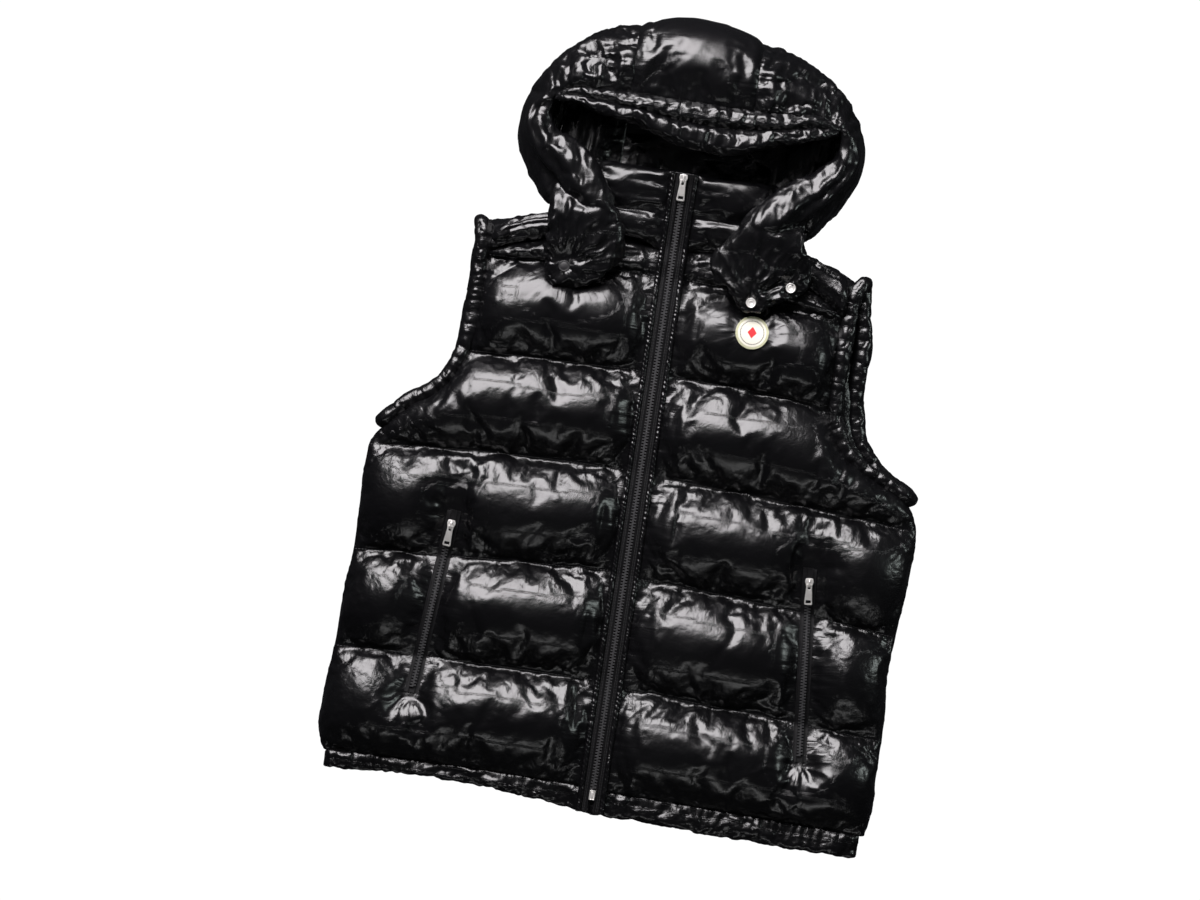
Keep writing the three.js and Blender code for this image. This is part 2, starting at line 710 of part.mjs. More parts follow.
// Collar: a padded strip round the neck, flattened, from one side of the zip to the other.
const COLLAR_UP = [0, 0.08, 0.2, 0.32, 0.4, 0.55, 0.75, 0.93, 1];
const COLLAR_HALF_ROUND = [
  { name: "zip", x: 0.15, level: 1, low: 583.5 },
  { name: "placket", x: PLACKET, level: 1, low: 587.5 },
  { name: "rise", x: 22, level: 1, low: 590 },
  { name: "breast", x: 40, level: 1, low: 593 },
  { name: "outer breast", x: 62, level: 1, low: 594 },
  { name: "turning", x: 80, level: 0.92, low: 602 },
  { name: "fold", x: 92, level: 0.5, low: 613 },
  { name: "under turn", x: 80, level: 0.06, low: 610 },
  { name: "under", x: 55, level: 0, low: 606 },
  { name: "nape", x: 25, level: 0, low: 604.5 },
];

function buildCollar() {
  const rightHalf = COLLAR_HALF_ROUND.map((row) => ({ ...row, sign: -1 }));
  const leftHalf = COLLAR_HALF_ROUND.map((row) => ({ ...row, sign: 1 })).reverse();
  const around = [...rightHalf, ...leftHalf];
  const seamAt = COLLAR_UP[4];
  const inner = around.map((row) =>
    COLLAR_UP.map((v) => {
      const y = lerp(row.low, COLLAR.topY, v);
      const frontZ = COLLAR_FRONT_Z + COLLAR.lean * smoothstep(y, 575, COLLAR.topY);
      return point(row.sign * row.x, y, lerp(COLLAR_BACK_Z, frontZ, row.level));
    }),
  );
  const facing = gridNormals(inner, 1);
  const outwards = facing[2][3].z > 0 ? 1 : -1;
  const outer = inner.map((row, i) =>
    row.map((here, j) => {
      const v = COLLAR_UP[j];
      const channel = v < seamAt ? v / seamAt : (v - seamAt) / (1 - seamAt);
      if (around[i].x <= PLACKET) return point(here.x, here.y, placketTop("right", here.y));
      const thick = COLLAR_WALL - 1 + (around[i].level < 0.5 ? 1 : COLLAR_PAD * arch(channel));
      const out = here.clone().addScaledVector(facing[i][j], outwards * thick);
      return point(out.x, here.y, out.z);
    }),
  );
  return wallBetween(outer, inner);
}

// Hood centre panel: from the brim over the crown, round the end and back under to the neck.
const HOOD_PATH = [
  { y: 742.6, z: 88, far: 0 },
  { y: 765, z: 96, far: 0.2 },
  { y: 788, z: 92, far: 0.6 },
  { y: 805, z: 76, far: 0.9 },
  { y: 813, z: 52, far: 1 },
  { y: 808, z: 28, far: 1 },
  { y: 792, z: 11, far: 0.8 },
  { y: 760, z: HOOD_FLOOR, far: 0.4 },
  { y: 700, z: HOOD_FLOOR, far: 0 },
  { y: 650, z: HOOD_FLOOR, far: 0 },
  { y: 606, z: HOOD_FLOOR, far: 0 },
];
const HOOD_CENTRE = { right: -69, left: 61, bow: 8 };
const HOOD_CENTRE_STEPS = 22;
const HOOD_CENTRE_COLUMNS = [0, 0.08, 0.3, 0.5, 0.7, 0.92, 1];

const hoodPath = new THREE.CatmullRomCurve3(HOOD_PATH.map((row) => point(row.far, row.y, row.z)));

function padOut(inner, normals, pad, lowest) {
  return inner.map((row, i) =>
    row.map((here, j) => {
      const out = here.clone().addScaledVector(normals[i][j], pad(i, j));
      return point(out.x, out.y, Math.max(out.z, lowest));
    }),
  );
}

function buildHoodCentre() {
  const { right, left, bow } = HOOD_CENTRE;
  const base = [];
  for (let i = 0; i <= HOOD_CENTRE_STEPS; i += 1) {
    const at = hoodPath.getPoint(i / HOOD_CENTRE_STEPS);
    base.push(
      HOOD_CENTRE_COLUMNS.map((u) => {
        const bulge = bow * at.x * (1 - Math.pow(2 * u - 1, 2));
        return point(lerp(right + SEAM_GAP / 2, left - SEAM_GAP / 2, u), at.y + bulge, at.z);
      }),
    );
  }
  const facing = gridNormals(base, 1);
  const outwards = facing[2][3].z > 0 ? 1 : -1;
  const normals = facing.map((row) => row.map((n) => n.multiplyScalar(outwards)));
  const pad = (i, j) => {
    const across = arch(HOOD_CENTRE_COLUMNS[j]);
    const along = quarterRound((i + 0.2) / 3);
    return 1 + HOOD_PAD * across * along;
  };
  const outer = padOut(base, normals, pad, 0);
  const inner = base.map((row, i) =>
    row.map((here, j) => here.clone().addScaledVector(normals[i][j], -HOOD_WALL)),
  );
  const fixed = (grid) =>
    grid.map((row) => row.map((p, j) => point(base[0][j].x, p.y, p.z)));
  return wallBetween(fixed(outer), fixed(inner));
}

// Hood side panels: ribs from the brim band over the side of the head and under to the centre,
// running on below into the snap flaps.
const RIB_STEPS = 13;
const SIDE_PANEL_STEPS = 18;
const CORNER_RIB = 3 / 7;

const sideSeamX = (side) => (side === "right" ? -HOOD_CENTRE.right : HOOD_CENTRE.left);

// The first rib runs along the centre panel's edge: its places on the crown's path, in rows.
const CROWN_PLACES = [0, 1.5, 3.4, 4.7, 5.8, 6.4];

function ribPoints(row, side) {
  const seam = sideSeamX(side);
  if (row.name === "centre") {
    const at = (k) => hoodPath.getPoint(k / (HOOD_PATH.length - 1));
    return CROWN_PLACES.map((k) => point(seam, at(k).y, at(k).z));
  }
  const inward = point(-row.ox, 700 - row.oy, 0).normalize();
  const edge = point(row.ox, row.oy, row.crest * 0.44).addScaledVector(inward, HOOD_PAD - 1);
  const top = point(row.ex, row.ey, row.ez - HOOD_WALL);
  const shoulder = point(lerp(row.ex, edge.x, 0.62), lerp(row.ey, edge.y, 0.62), row.crest - 5);
  const low = point(lerp(edge.x, seam, 0.14), lerp(edge.y, row.under, 0.3), HOOD_FLOOR + 6);
  const floor = point(lerp(edge.x, seam, 0.5), lerp(edge.y, row.under, 0.7), HOOD_FLOOR);
  const end = point(seam, row.under, HOOD_FLOOR);
  return [top, shoulder, edge, low, floor, end];
}

// The rib ends along the brim, as a curve from the centre panel's seam to the neck.
function brimEdge(side) {
  const ends = HOOD_RIBS[side].map((row) => ribPoints(row, side)[0]);
  return new THREE.CatmullRomCurve3(ends);
}

function buildHoodSide(side) {
  const sign = side === "right" ? -1 : 1;
  const seam = sideSeamX(side);
  const ribs = HOOD_RIBS[side].map((row) => ribPoints(row, side));
  const control = ribs[0].map((_, k) => new THREE.CatmullRomCurve3(ribs.map((rib) => rib[k])));
  const base = [];
  for (let i = 0; i <= SIDE_PANEL_STEPS; i += 1) {
    const across = control.map((curve) => curve.getPoint(i / SIDE_PANEL_STEPS));
    const rib = new THREE.CatmullRomCurve3(across, false, "centripetal");
    const row = [];
    for (let j = 0; j <= RIB_STEPS; j += 1) row.push(rib.getPoint(j / RIB_STEPS));
    base.push(row);
  }
  const facing = gridNormals(base, 1);
  const outwards = facing[8][3].z > 0 ? 1 : -1;
  const normals = facing.map((row) => row.map((n) => n.multiplyScalar(outwards)));
  const templeAt = 2 / 7;
  const pad = (i, j) => {
    const t = i / SIDE_PANEL_STEPS;
    const channel = t < templeAt ? t / templeAt : (t - templeAt) / (1 - templeAt);
    const least = t < 0.1 || t > 0.9 ? 0.01 : 0.06;
    const across = quarterRound((j + 0.3) / 3);
    return 1 + (HOOD_PAD - 1) * arch(clamp(channel, least, 1 - least)) * across;
  };
  const out = padOut(base, normals, pad, 0);
  const inside = base.map((row, i) =>
    row.map((here, j) => here.clone().addScaledVector(normals[i][j], -HOOD_WALL)),
  );
  const lowY = HOOD_RIBS[side][7].under;
  const kept = (grid) =>
    grid.map((row, i) =>
      row.map((p, j) => {
        const start = base[i][0];
        const atBrim = j === 0 && i / SIDE_PANEL_STEPS < CORNER_RIB;
        const x = i === 0 ? seam : Math.max(atBrim ? start.x : p.x, seam);
        const y = i === SIDE_PANEL_STEPS ? lowY : Math.max(atBrim ? start.y : p.y, lowY);
        return point(sign * (x + SEAM_GAP / 2), y, p.z);
      }),
    );
  return wallBetween(kept(out), kept(inside));
}

// Brim bands: two gathered rows of cloth along the front edge of the hood.
const BRIM_ENDS = { right: -147, left: 153 };
const BAND_DOWN = [0, 0.25, 0.7, 1];

// Where the brim's band meets the hood panels, at a place across the hood.
function brimSeamY(x) {
  const side = x < 0 ? "right" : "left";
  const out = Math.abs(x);
  if (out < sideSeamX(side)) return HOOD_PATH[0].y;
  const curve = brimEdge(side);
  let near = 0;
  let far = CORNER_RIB;
  for (let pass = 0; pass < 24; pass += 1) {
    const half = (near + far) / 2;
    if (curve.getPoint(half).x < out) near = half;
    else far = half;
  }
  return curve.getPoint(near).y;
}

function buildBrimBand(from, to, phase) {
  const steps = BRIM_GATHERS * 3;
  const outer = [];
  const inner = [];
  for (let i = 0; i <= steps; i += 1) {
    const x = lerp(BRIM_ENDS.right, BRIM_ENDS.left, i / steps);
    const seam = brimSeamY(x) - 1.2;
    const edge = Math.min(readTable(BRIM, "x", "edge", x), seam - 7);
    const high = lerp(seam, edge, from) - SEAM_GAP / 2;
    const low = lerp(seam, edge, to) + SEAM_GAP / 2;
    const z = readTable(BRIM, "x", "z", x) - 4;
    const wide = Math.min(1, (high - low) / 12);
    const gather = 1.5 * Math.sin((i / 3 + phase) * 2 * Math.PI) * wide;
    const rise = (t) => (2 + 7 * wide + gather) * arch(t);
    outer.push(BAND_DOWN.map((t) => point(x, lerp(high, low, t), z + rise(t))));
    inner.push(BAND_DOWN.map((t) => point(x, lerp(high, low, t), z - HOOD_WALL)));
  }
  return wallBetween(outer, inner);
}

// Snap flaps: the hood's front corners, laid over the yokes and the top baffles.
const FLAP_ACROSS = [0, 0.1, 0.3, 0.5, 0.7, 0.9, 1];

function flapGrid(side) {
  const sign = side === "right" ? -1 : 1;
  const rows = FLAP_ROWS[side];
  const lines = (column) =>
    new THREE.CatmullRomCurve3(rows.map((row) => point(row[column], row.y, row.z)));
  const innerLine = lines("inner");
  const outerLine = lines("outer");
  const steps = 12;
  const outer = [];
  const inner = [];
  for (let i = 0; i <= steps; i += 1) {
    const a = innerLine.getPoint(i / steps);
    const b = outerLine.getPoint(i / steps);
    const tip = quarterRound((steps - i + 0.4) / 3.4);
    outer.push(
      FLAP_ACROSS.map((u) => {
        const p = a.clone().lerp(b, u);
        const puff = 2 + 6.5 * quarterRound(u / 0.3) * quarterRound((1 - u) / 0.3) * tip;
        return point(sign * p.x, p.y, p.z + puff);
      }),
    );
    inner.push(
      FLAP_ACROSS.map((u) => {
        const p = a.clone().lerp(b, u);
        return point(sign * p.x, p.y, p.z - 1.5);
      }),
    );
  }
  return { outer, inner };
}

// A disc with a flat seat cut for it, and the snap that sits there.
function lathe(profile, segments = 16) {
  const turned = new THREE.LatheGeometry(
    profile.map(([r, z]) => new THREE.Vector2(r, z)),
    segments,
  );
  turned.rotateX(Math.PI / 2);
  return turned;
}

const SNAP_CAP = [
  [0, 0],
  [SNAP_RADIUS, 0],
  [SNAP_RADIUS, 1],
  [SNAP_RADIUS - 0.9, 2],
  [0, 2.3],
];
const SNAP_RING = [
  [0, 0],
  [SNAP_RADIUS - 0.6, 0],
  [SNAP_RADIUS - 0.6, 1.2],
  [SNAP_RADIUS - 1.4, 1.9],
  [SNAP_RADIUS - 2.4, 1.5],
  [SNAP_RADIUS - 2.8, 0.7],
  [1.9, 0.7],
  [1.6, 2],
  [0, 2.2],
];

function seatDepth(grid, x, y) {
  let nearest = null;
  let best = Infinity;
  for (const p of grid.flat()) {
    const gap = Math.hypot(p.x - x, p.y - y);
    if (gap < best) {
      best = gap;
      nearest = p;
    }
  }
  return nearest.z - 0.8;
}

function discSolid(radius, low, high, x, y) {
  const disc = new THREE.CylinderGeometry(radius, radius, high - low, 24);
  disc.rotateX(Math.PI / 2);
  disc.translate(x, y, (low + high) / 2);
  return toSolid(disc);
}

function buildHoodFlapSide(side) {
  const { outer, inner } = flapGrid(side);
  const panel = toSolid(buildHoodSide(side));
  let whole = panel.add(toSolid(wallBetween(outer, inner)));
  for (const snap of SNAPS.filter((each) => each.x < 0 === (side === "right"))) {
    const seat = seatDepth(outer, snap.x, snap.y);
    whole = whole.subtract(discSolid(SNAP_RADIUS + 0.7, seat, seat + 20, snap.x, snap.y));
    const turned = lathe(snap.open ? SNAP_RING : SNAP_CAP);
    turned.translate(snap.x, snap.y, seat + SEAM_GAP);
    piece(snap.name, turned, snap.open ? "metal" : "cap");
  }
  piece(`hood_side_${side}`, fromSolid(whole), "shell");
}

// Front zip: two tapes and the closed chain, lying on the flat strip of the fronts and collar.
function zipStrip(x0, x1, tall, low, high) {
  const loops = [];
  const steps = Math.ceil((high - low) / 16);
  for (let i = 0; i <= steps; i += 1) {
    const y = lerp(low, high, i / steps);
    const seat = Math.max(placketTop("right", y), placketTop("left", y)) + 0.8;
    loops.push([
      point(x0, y, seat),
      point(x1, y, seat),
      point(x1, y, seat + tall),
      point(x0, y, seat + tall),
    ]);
  }
  return sweepLoops(loops);
}

function buildFrontZip() {
  piece("zip_tape_right", zipStrip(-PLACKET + 0.6, -CHAIN_HALF - SEAM_GAP, TAPE_THICK, ZIP_LOW, ZIP_TOP), "tape");
  piece("zip_tape_left", zipStrip(CHAIN_HALF + SEAM_GAP, PLACKET - 0.6, TAPE_THICK, ZIP_LOW, ZIP_TOP), "tape");
  const sliderLow = ZIP_TOP - SLIDER.long - 1;
  piece("zip_chain", zipStrip(-CHAIN_HALF, CHAIN_HALF, CHAIN_TALL, 14, sliderLow - SEAM_GAP), "chain");
  const box = zipStrip(-CHAIN_HALF, CHAIN_HALF, CHAIN_TALL + 0.6, 3, 13.4);
  piece("zip_box", box, "metal");
}

// A slider and its pull, made lying along -Y with the slider's foot at the origin.
function extruded(outline, depth, holes = []) {
  const shape = new THREE.Shape(outline.map(([x, y]) => new THREE.Vector2(x, y)));
  for (const hole of holes) {
    shape.holes.push(new THREE.Path(hole.map(([x, y]) => new THREE.Vector2(x, y))));
  }
  return new THREE.ExtrudeGeometry(shape, { depth, bevelEnabled: false, curveSegments: 6 });
}

function sliderGeometry() {
  const { long, wide, tall, bailLong, bailThick, bailWide } = SLIDER;
  const body = extruded(
    [
      [-wide * 0.34, 0],
      [wide * 0.34, 0],
      [wide * 0.4, long * 0.3],
      [wide * 0.5, long * 0.62],
      [wide * 0.42, long * 0.94],
      [wide * 0.2, long],
      [-wide * 0.2, long],
      [-wide * 0.42, long * 0.94],
      [-wide * 0.5, long * 0.62],
      [-wide * 0.4, long * 0.3],
    ],
    tall,
  );
  const inside = PIVOT_ABOVE * 2;
  const half = bailLong / 2;
  const arched = extruded(
    [
      [-half, -0.5],
      [-half, inside * 0.7],
      [-half + 1.2, inside + bailThick],
      [half - 1.2, inside + bailThick],
      [half, inside * 0.7],
      [half, -0.5],
      [half - bailThick, -0.5],
      [half - bailThick, inside * 0.75],
      [half - bailThick - 0.7, inside],
      [-half + bailThick + 0.7, inside],
      [-half + bailThick, inside * 0.75],
      [-half + bailThick, -0.5],
    ],
    bailWide,
  );
  arched.translate(0, 0, -bailWide / 2);
  arched.rotateX(Math.PI / 2);
  arched.rotateZ(Math.PI / 2);
  arched.translate(0, long * 0.5, tall);
  return fromSolid(toSolid(body).add(toSolid(arched)));
}

function pullGeometry() {
  const { long, neck, wide, thick, bar, eyeLong, eyeWide } = PULL;
  const outline = [
    [-neck / 2, bar / 2],
    [-neck / 2 - 0.2, -eyeLong - 0.7],
    [-wide / 2 + 0.6, -long * 0.55],
    [-wide / 2, -long + 1.2],
    [-wide / 2 + 1, -long],
    [wide / 2 - 1, -long],
    [wide / 2, -long + 1.2],
    [wide / 2 - 0.6, -long * 0.55],
    [neck / 2 + 0.2, -eyeLong - 0.7],
    [neck / 2, bar / 2],
  ];
  const eye = [
    [-eyeWide / 2, -bar / 2],
    [eyeWide / 2, -bar / 2],
    [eyeWide / 2, -eyeLong],
    [-eyeWide / 2, -eyeLong],
  ];
  const low = -long + PULL_WINDOW.rim;
  const window = [
    [-PULL_WINDOW.wide / 2, low + PULL_WINDOW.tall],
    [PULL_WINDOW.wide / 2, low + PULL_WINDOW.tall],
    [PULL_WINDOW.wide / 2, low],
    [-PULL_WINDOW.wide / 2, low],
  ];
  const plate = extruded(outline, thick, [eye, window]);
  plate.translate(0, 0, -thick / 2);
  return plate;
}

// Places a slider with its pull. turn is about Z, slope tips the slider along its zip.
function placeSlider(name, x, y, z, turn, slope, rest) {
  const holder = new THREE.Group();
  holder.position.set(x, y, z);
  holder.rotation.set(slope, 0, turn, "ZYX");
  vest.add(holder);
  piece(`slider_${name}`, sliderGeometry(), "metal", holder);
  const hinge = new THREE.Group();
  hinge.position.set(0, SLIDER.long * 0.5 - SLIDER.bailLong / 2 + SLIDER.bailThick + 1.25, SLIDER.tall + PIVOT_ABOVE);
  hinge.rotation.x = rest;
  holder.add(hinge);
  piece(`pull_${name}`, pullGeometry(), "metal", hinge);
  return hinge;
}

// Pocket zips: made from the front's own points in the channel, moved out.
function pocketRows(side, grid) {
  const inColumn = 2 + TO_POCKET.length;
  const { topY, lowY } = POCKETS[side];
  return grid.top
    .map((row) => [row[inColumn], row[inColumn + 1]])
    .filter(([a]) => a.y > lowY && a.y < topY);
}

function channelPoint(rows, y, across) {
  let i = 0;
  while (i < rows.length - 2 && rows[i + 1][0].y < y) i += 1;
  const [a0, b0] = rows[i];
  const [a1, b1] = rows[i + 1];
  const t = (y - a0.y) / (a1.y - a0.y);
  return a0.clone().lerp(a1, t).lerp(b0.clone().lerp(b1, t), across);
}

function buildPocketZip(side, grid) {
  const { topY, lowY } = POCKETS[side];
  const inColumn = 2 + TO_POCKET.length;
  const all = grid.top.map((row) => [row[inColumn], row[inColumn + 1]]);
  const stations = [lowY, ...pocketRows(side, grid).map(([a]) => a.y), topY];
  const strip = (u0, u1, tall, from, to, raise) =>
    sweepLoops(
      [from, ...stations.filter((y) => y > from + 1 && y < to - 1), to].map((y) => {
        const a = channelPoint(all, y, u0);
        const b = channelPoint(all, y, u1);
        return [
          point(a.x, a.y, a.z + raise),
          point(b.x, b.y, b.z + raise),
          point(b.x, b.y, b.z + raise + tall),
          point(a.x, a.y, a.z + raise + tall),
        ];
      }),
    );
  piece(`pocket_tape_${side}`, strip(0.06, 0.94, TAPE_THICK, lowY, topY, 0.6), "tape");
  const sliderY = topY - 20;
  const chainRaise = 0.6 + TAPE_THICK + SEAM_GAP;
  piece(`pocket_chain_${side}`, strip(0.36, 0.64, 1.6, lowY + 4, sliderY - 1.2, chainRaise), "chain");
  const low = channelPoint(all, sliderY - 12, 0.5);
  const high = channelPoint(all, sliderY + SLIDER.long, 0.5);
  const slope = Math.atan2(high.z - low.z, high.y - low.y);
  const turn = Math.atan2(-(high.x - low.x), high.y - low.y);
  const seat = channelPoint(all, sliderY, 0.5);
  const lift = 0.6 + TAPE_THICK + SEAM_GAP + 0.5;
  placeSlider(`pocket_${side}`, seat.x, seat.y, seat.z + lift, turn, slope, PULL_REST);
}

// Badge: a plain round felt patch, cut from the panel's own surface and moved out.
function buildBadge(panel) {
  const column = discSolid(BADGE.radius, FRONT_FLOOR + 12, FRONT_FLOOR + 60, BADGE.x, BADGE.y);
  const raised = panel.translate([0, 0, SEAM_GAP + BADGE.thick]);
  const patch = column.intersect(raised).subtract(panel.translate([0, 0, SEAM_GAP]));
  const bodies = patch.decompose().sort((a, b) => b.volume() - a.volume());
  piece("badge", fromSolid(bodies[0]), "badge");
}

// Assembly
for (const side of ["right", "left"]) {
  const grid = frontGrid(side);
  const front = wallBetween(grid.top, grid.floor);
  piece(`front_${side}`, thinned(front), "shell");
  piece(`yoke_${side}`, thinned(buildYoke(side, grid)), "shell");
  piece(`hem_front_${side}`, thinned(buildHemBand(side)), "shell");
  piece(`armhole_${side}`, buildBinding(side), "shell");
  buildHoodFlapSide(side);
  buildPocketZip(side, grid);
  if (side === "left") buildBadge(toSolid(front));
}
piece("back", thinned(buildBack()), "shell");
piece("hem_back", thinned(buildBackHem()), "shell");
piece("collar", buildCollar(), "shell");
piece("hood_centre", buildHoodCentre(), "shell");
piece("hood_band", thinned(buildBrimBand(0, BRIM_MIDDLE, 0)), "shell");
piece("hood_brim", thinned(buildBrimBand(BRIM_MIDDLE, 1, 0.5)), "shell");
buildFrontZip();
const zipSeat = placketTop("right", ZIP_TOP - SLIDER.long) + 0.8 + TAPE_THICK + SEAM_GAP;
placeSlider("front", -1, ZIP_TOP - SLIDER.long - 1, zipSeat + 0.4, 0, 0.12, PULL_REST);

vest.updateMatrixWorld(true);
const extent = new THREE.Box3().setFromObject(vest, true);
const middle = extent.getCenter(point());
vest.position.set(-middle.x, -middle.y, -extent.min.z);
vest.updateMatrixWorld(true);

export default vest;
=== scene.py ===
# %% [markdown]
# # A glossy hooded down vest, laid flat
#
# The imported model gives hard facts: where each panel, seam, zip and stud is. This script dresses it.
# Cloth is swelled by a short simulation from its solid's own form, pleats are pressed in where it is
# sewn, and small hardware is modelled anew. We start by loading the frame.

import math

import bpy
import numpy as np
from mathutils import Matrix, Vector, noise
from mathutils.bvhtree import BVHTree
from mathutils.kdtree import KDTree


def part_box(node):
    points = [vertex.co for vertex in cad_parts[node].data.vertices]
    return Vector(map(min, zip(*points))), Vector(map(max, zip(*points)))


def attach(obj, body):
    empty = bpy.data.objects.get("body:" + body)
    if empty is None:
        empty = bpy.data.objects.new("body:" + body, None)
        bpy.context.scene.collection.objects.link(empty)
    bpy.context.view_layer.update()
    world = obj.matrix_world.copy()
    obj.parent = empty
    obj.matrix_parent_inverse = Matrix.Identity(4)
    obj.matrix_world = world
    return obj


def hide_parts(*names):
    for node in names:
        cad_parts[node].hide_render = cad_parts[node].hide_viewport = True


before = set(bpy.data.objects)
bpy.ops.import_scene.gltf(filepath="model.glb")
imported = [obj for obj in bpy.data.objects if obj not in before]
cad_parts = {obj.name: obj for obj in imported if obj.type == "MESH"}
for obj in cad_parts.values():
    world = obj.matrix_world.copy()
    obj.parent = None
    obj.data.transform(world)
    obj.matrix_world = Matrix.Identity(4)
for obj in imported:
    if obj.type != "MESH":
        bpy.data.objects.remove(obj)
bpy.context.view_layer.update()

# %% [markdown]
# ## Where the sewing runs
#
# The vest was drawn in millimetres from the hem's zip end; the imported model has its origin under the
# middle of the vest. The zip's chain runs down the drawing's middle, and its tapes end 11 mm below
# the hem, so two measures turn one into the other. The quilting seams are shallow curves, each given
# by its height at the zip, halfway and at the side, so one short table holds them all.

# %% Seams of the fronts, in the drawing's millimetres
chain_low, chain_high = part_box("zip_chain")
MIDDLE_X = -500 * (chain_low[0] + chain_high[0])
MIDDLE_Y = -11 - 1000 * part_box("zip_tape_right")[0][1]
SIDE_REACH = 292
SEAMS = {
    "right": [(15, 17, 14), (128, 127, 124), (245, 237, 227), (351, 349, 338), (457, 453, 448),
              (559, 555, 552), (582, 588, 558)],
    "left": [(13, 11, 7), (123, 117, 108), (240, 233, 218), (349, 342, 331), (455, 451, 442),
             (559, 550, 536), (582, 588, 543)],
}


def seam_height(row, across):
    """Height in mm of a quilting seam, from 0 at the zip to 1 at the side."""
    zip_y, half_y, side_y = row
    bend = 2 * (zip_y - 2 * half_y + side_y)
    return zip_y + (side_y - zip_y - bend) * across + bend * across**2


def to_frame(x, y, z=0.0):
    """A point of the drawing, in the frame's metres."""
    return Vector(((x - MIDDLE_X) / 1000, (y - MIDDLE_Y) / 1000, z / 1000))


# %% [markdown]
# ## Camera and floor
#
# The photo looks straight down on the vest, which lies turned eight and a half degrees clockwise.
# A long lens keeps the flat view of a product picture. The floor only has to be white: it shines by
# itself, and it is hidden from reflections so that black cloth stays black.

# %% Camera
SHOT_TURN = math.radians(8.5)
SHOT_CENTRE = to_frame(-45.4, 368)
SHOT_WIDTH = 1.26
LENS = 200
SENSOR = 36
HEIGHT_OF_CLOTH = 0.05

camera_data = bpy.data.cameras.new("camera")
camera_data.lens = LENS
camera_data.sensor_width = SENSOR
camera = bpy.data.objects.new("camera", camera_data)
bpy.context.collection.objects.link(camera)
camera.location = (SHOT_CENTRE.x, SHOT_CENTRE.y, HEIGHT_OF_CLOTH + SHOT_WIDTH * LENS / SENSOR)
camera.rotation_euler = (0, 0, SHOT_TURN)
bpy.context.scene.camera = camera
bpy.context.scene.view_settings.view_transform = "Standard"


# %% Small helpers for modelling by hand
def only(obj):
    """Selects one object alone and makes it the active one."""
    if bpy.context.object and bpy.context.object.mode != "OBJECT":
        bpy.ops.object.mode_set(mode="OBJECT")
    bpy.ops.object.select_all(action="DESELECT")
    obj.select_set(True)
    bpy.context.view_layer.objects.active = obj
    return obj


def newest(name):
    """Names what an add operator has just made."""
    obj = bpy.context.object
    obj.name = obj.data.name = name
    return obj


def pick(obj, test, kind="FACE"):
    """Goes into edit mode with just the faces or points selected whose middle passes a test."""
    only(obj)
    bpy.ops.object.mode_set(mode="EDIT")
    bpy.ops.mesh.select_mode(type=kind)
    bpy.ops.mesh.select_all(action="DESELECT")
    bpy.ops.object.mode_set(mode="OBJECT")
    found = 0
    for part in obj.data.polygons if kind == "FACE" else obj.data.vertices:
        part.select = bool(test(part))
        found += part.select
    bpy.ops.object.mode_set(mode="EDIT")
    return found


def apply_modifier(obj, kind, **settings):
    """Adds a modifier, sets it and applies it."""
    only(obj)
    bpy.ops.object.modifier_add(type=kind)
    modifier = obj.modifiers[-1]
    for key, value in settings.items():
        setattr(modifier, key, value)
    bpy.ops.object.modifier_apply(modifier=modifier.name)


bpy.ops.object.select_all(action="DESELECT")
bpy.ops.mesh.primitive_plane_add(size=14, location=(0, 0, 0))
floor = newest("floor")
floor.visible_glossy = False


# %% [markdown]
# ## Light
#
# Every channel has a bright upper side and a black lower side, so the main light is one big window
# beyond the hood, a little to the left. It is wide enough for a soft gleam. A weak fill from
# below keeps the far sides readable, and the room itself stays nearly dark.

# %% Lamps and room
def softbox(name, place, aim, size, power, tint=(1, 1, 1)):
    """A rectangular lamp that looks at a point."""
    data = bpy.data.lights.new(name, "AREA")
    data.shape = "RECTANGLE"
    data.size, data.size_y = size
    data.energy = power
    data.color = tint
    lamp = bpy.data.objects.new(name, data)
    bpy.context.collection.objects.link(lamp)
    lamp.location = place
    lamp.rotation_euler = (Vector(aim) - Vector(place)).to_track_quat("-Z", "Y").to_euler()
    return lamp


softbox("window_light", (-0.6, 1.55, 1.35), (0, 0.05, 0.03), (1.7, 1.6), 118, (1.0, 0.965, 0.985))
softbox("side_light", (2.0, 0.5, 0.9), (0, 0, 0.03), (0.5, 0.5), 6, (0.9, 1.0, 0.97))
softbox("low_light", (0.3, -2.0, 1.3), (0, 0, 0.03), (1.6, 0.25), 4)

world = bpy.data.worlds.new("studio")
world.use_nodes = True
world.node_tree.nodes["Background"].inputs["Color"].default_value = (0.05, 0.052, 0.056, 1)
world.node_tree.nodes["Background"].inputs["Strength"].default_value = 0.4
bpy.context.scene.world = world


# %% [markdown]
# ## Shader maths
#
# A socket wrapped in a small class lets a pattern be written as a sum. Each expression adds the
# Math nodes that a hand would have placed. Colours and places go through Mix and Vector Math.

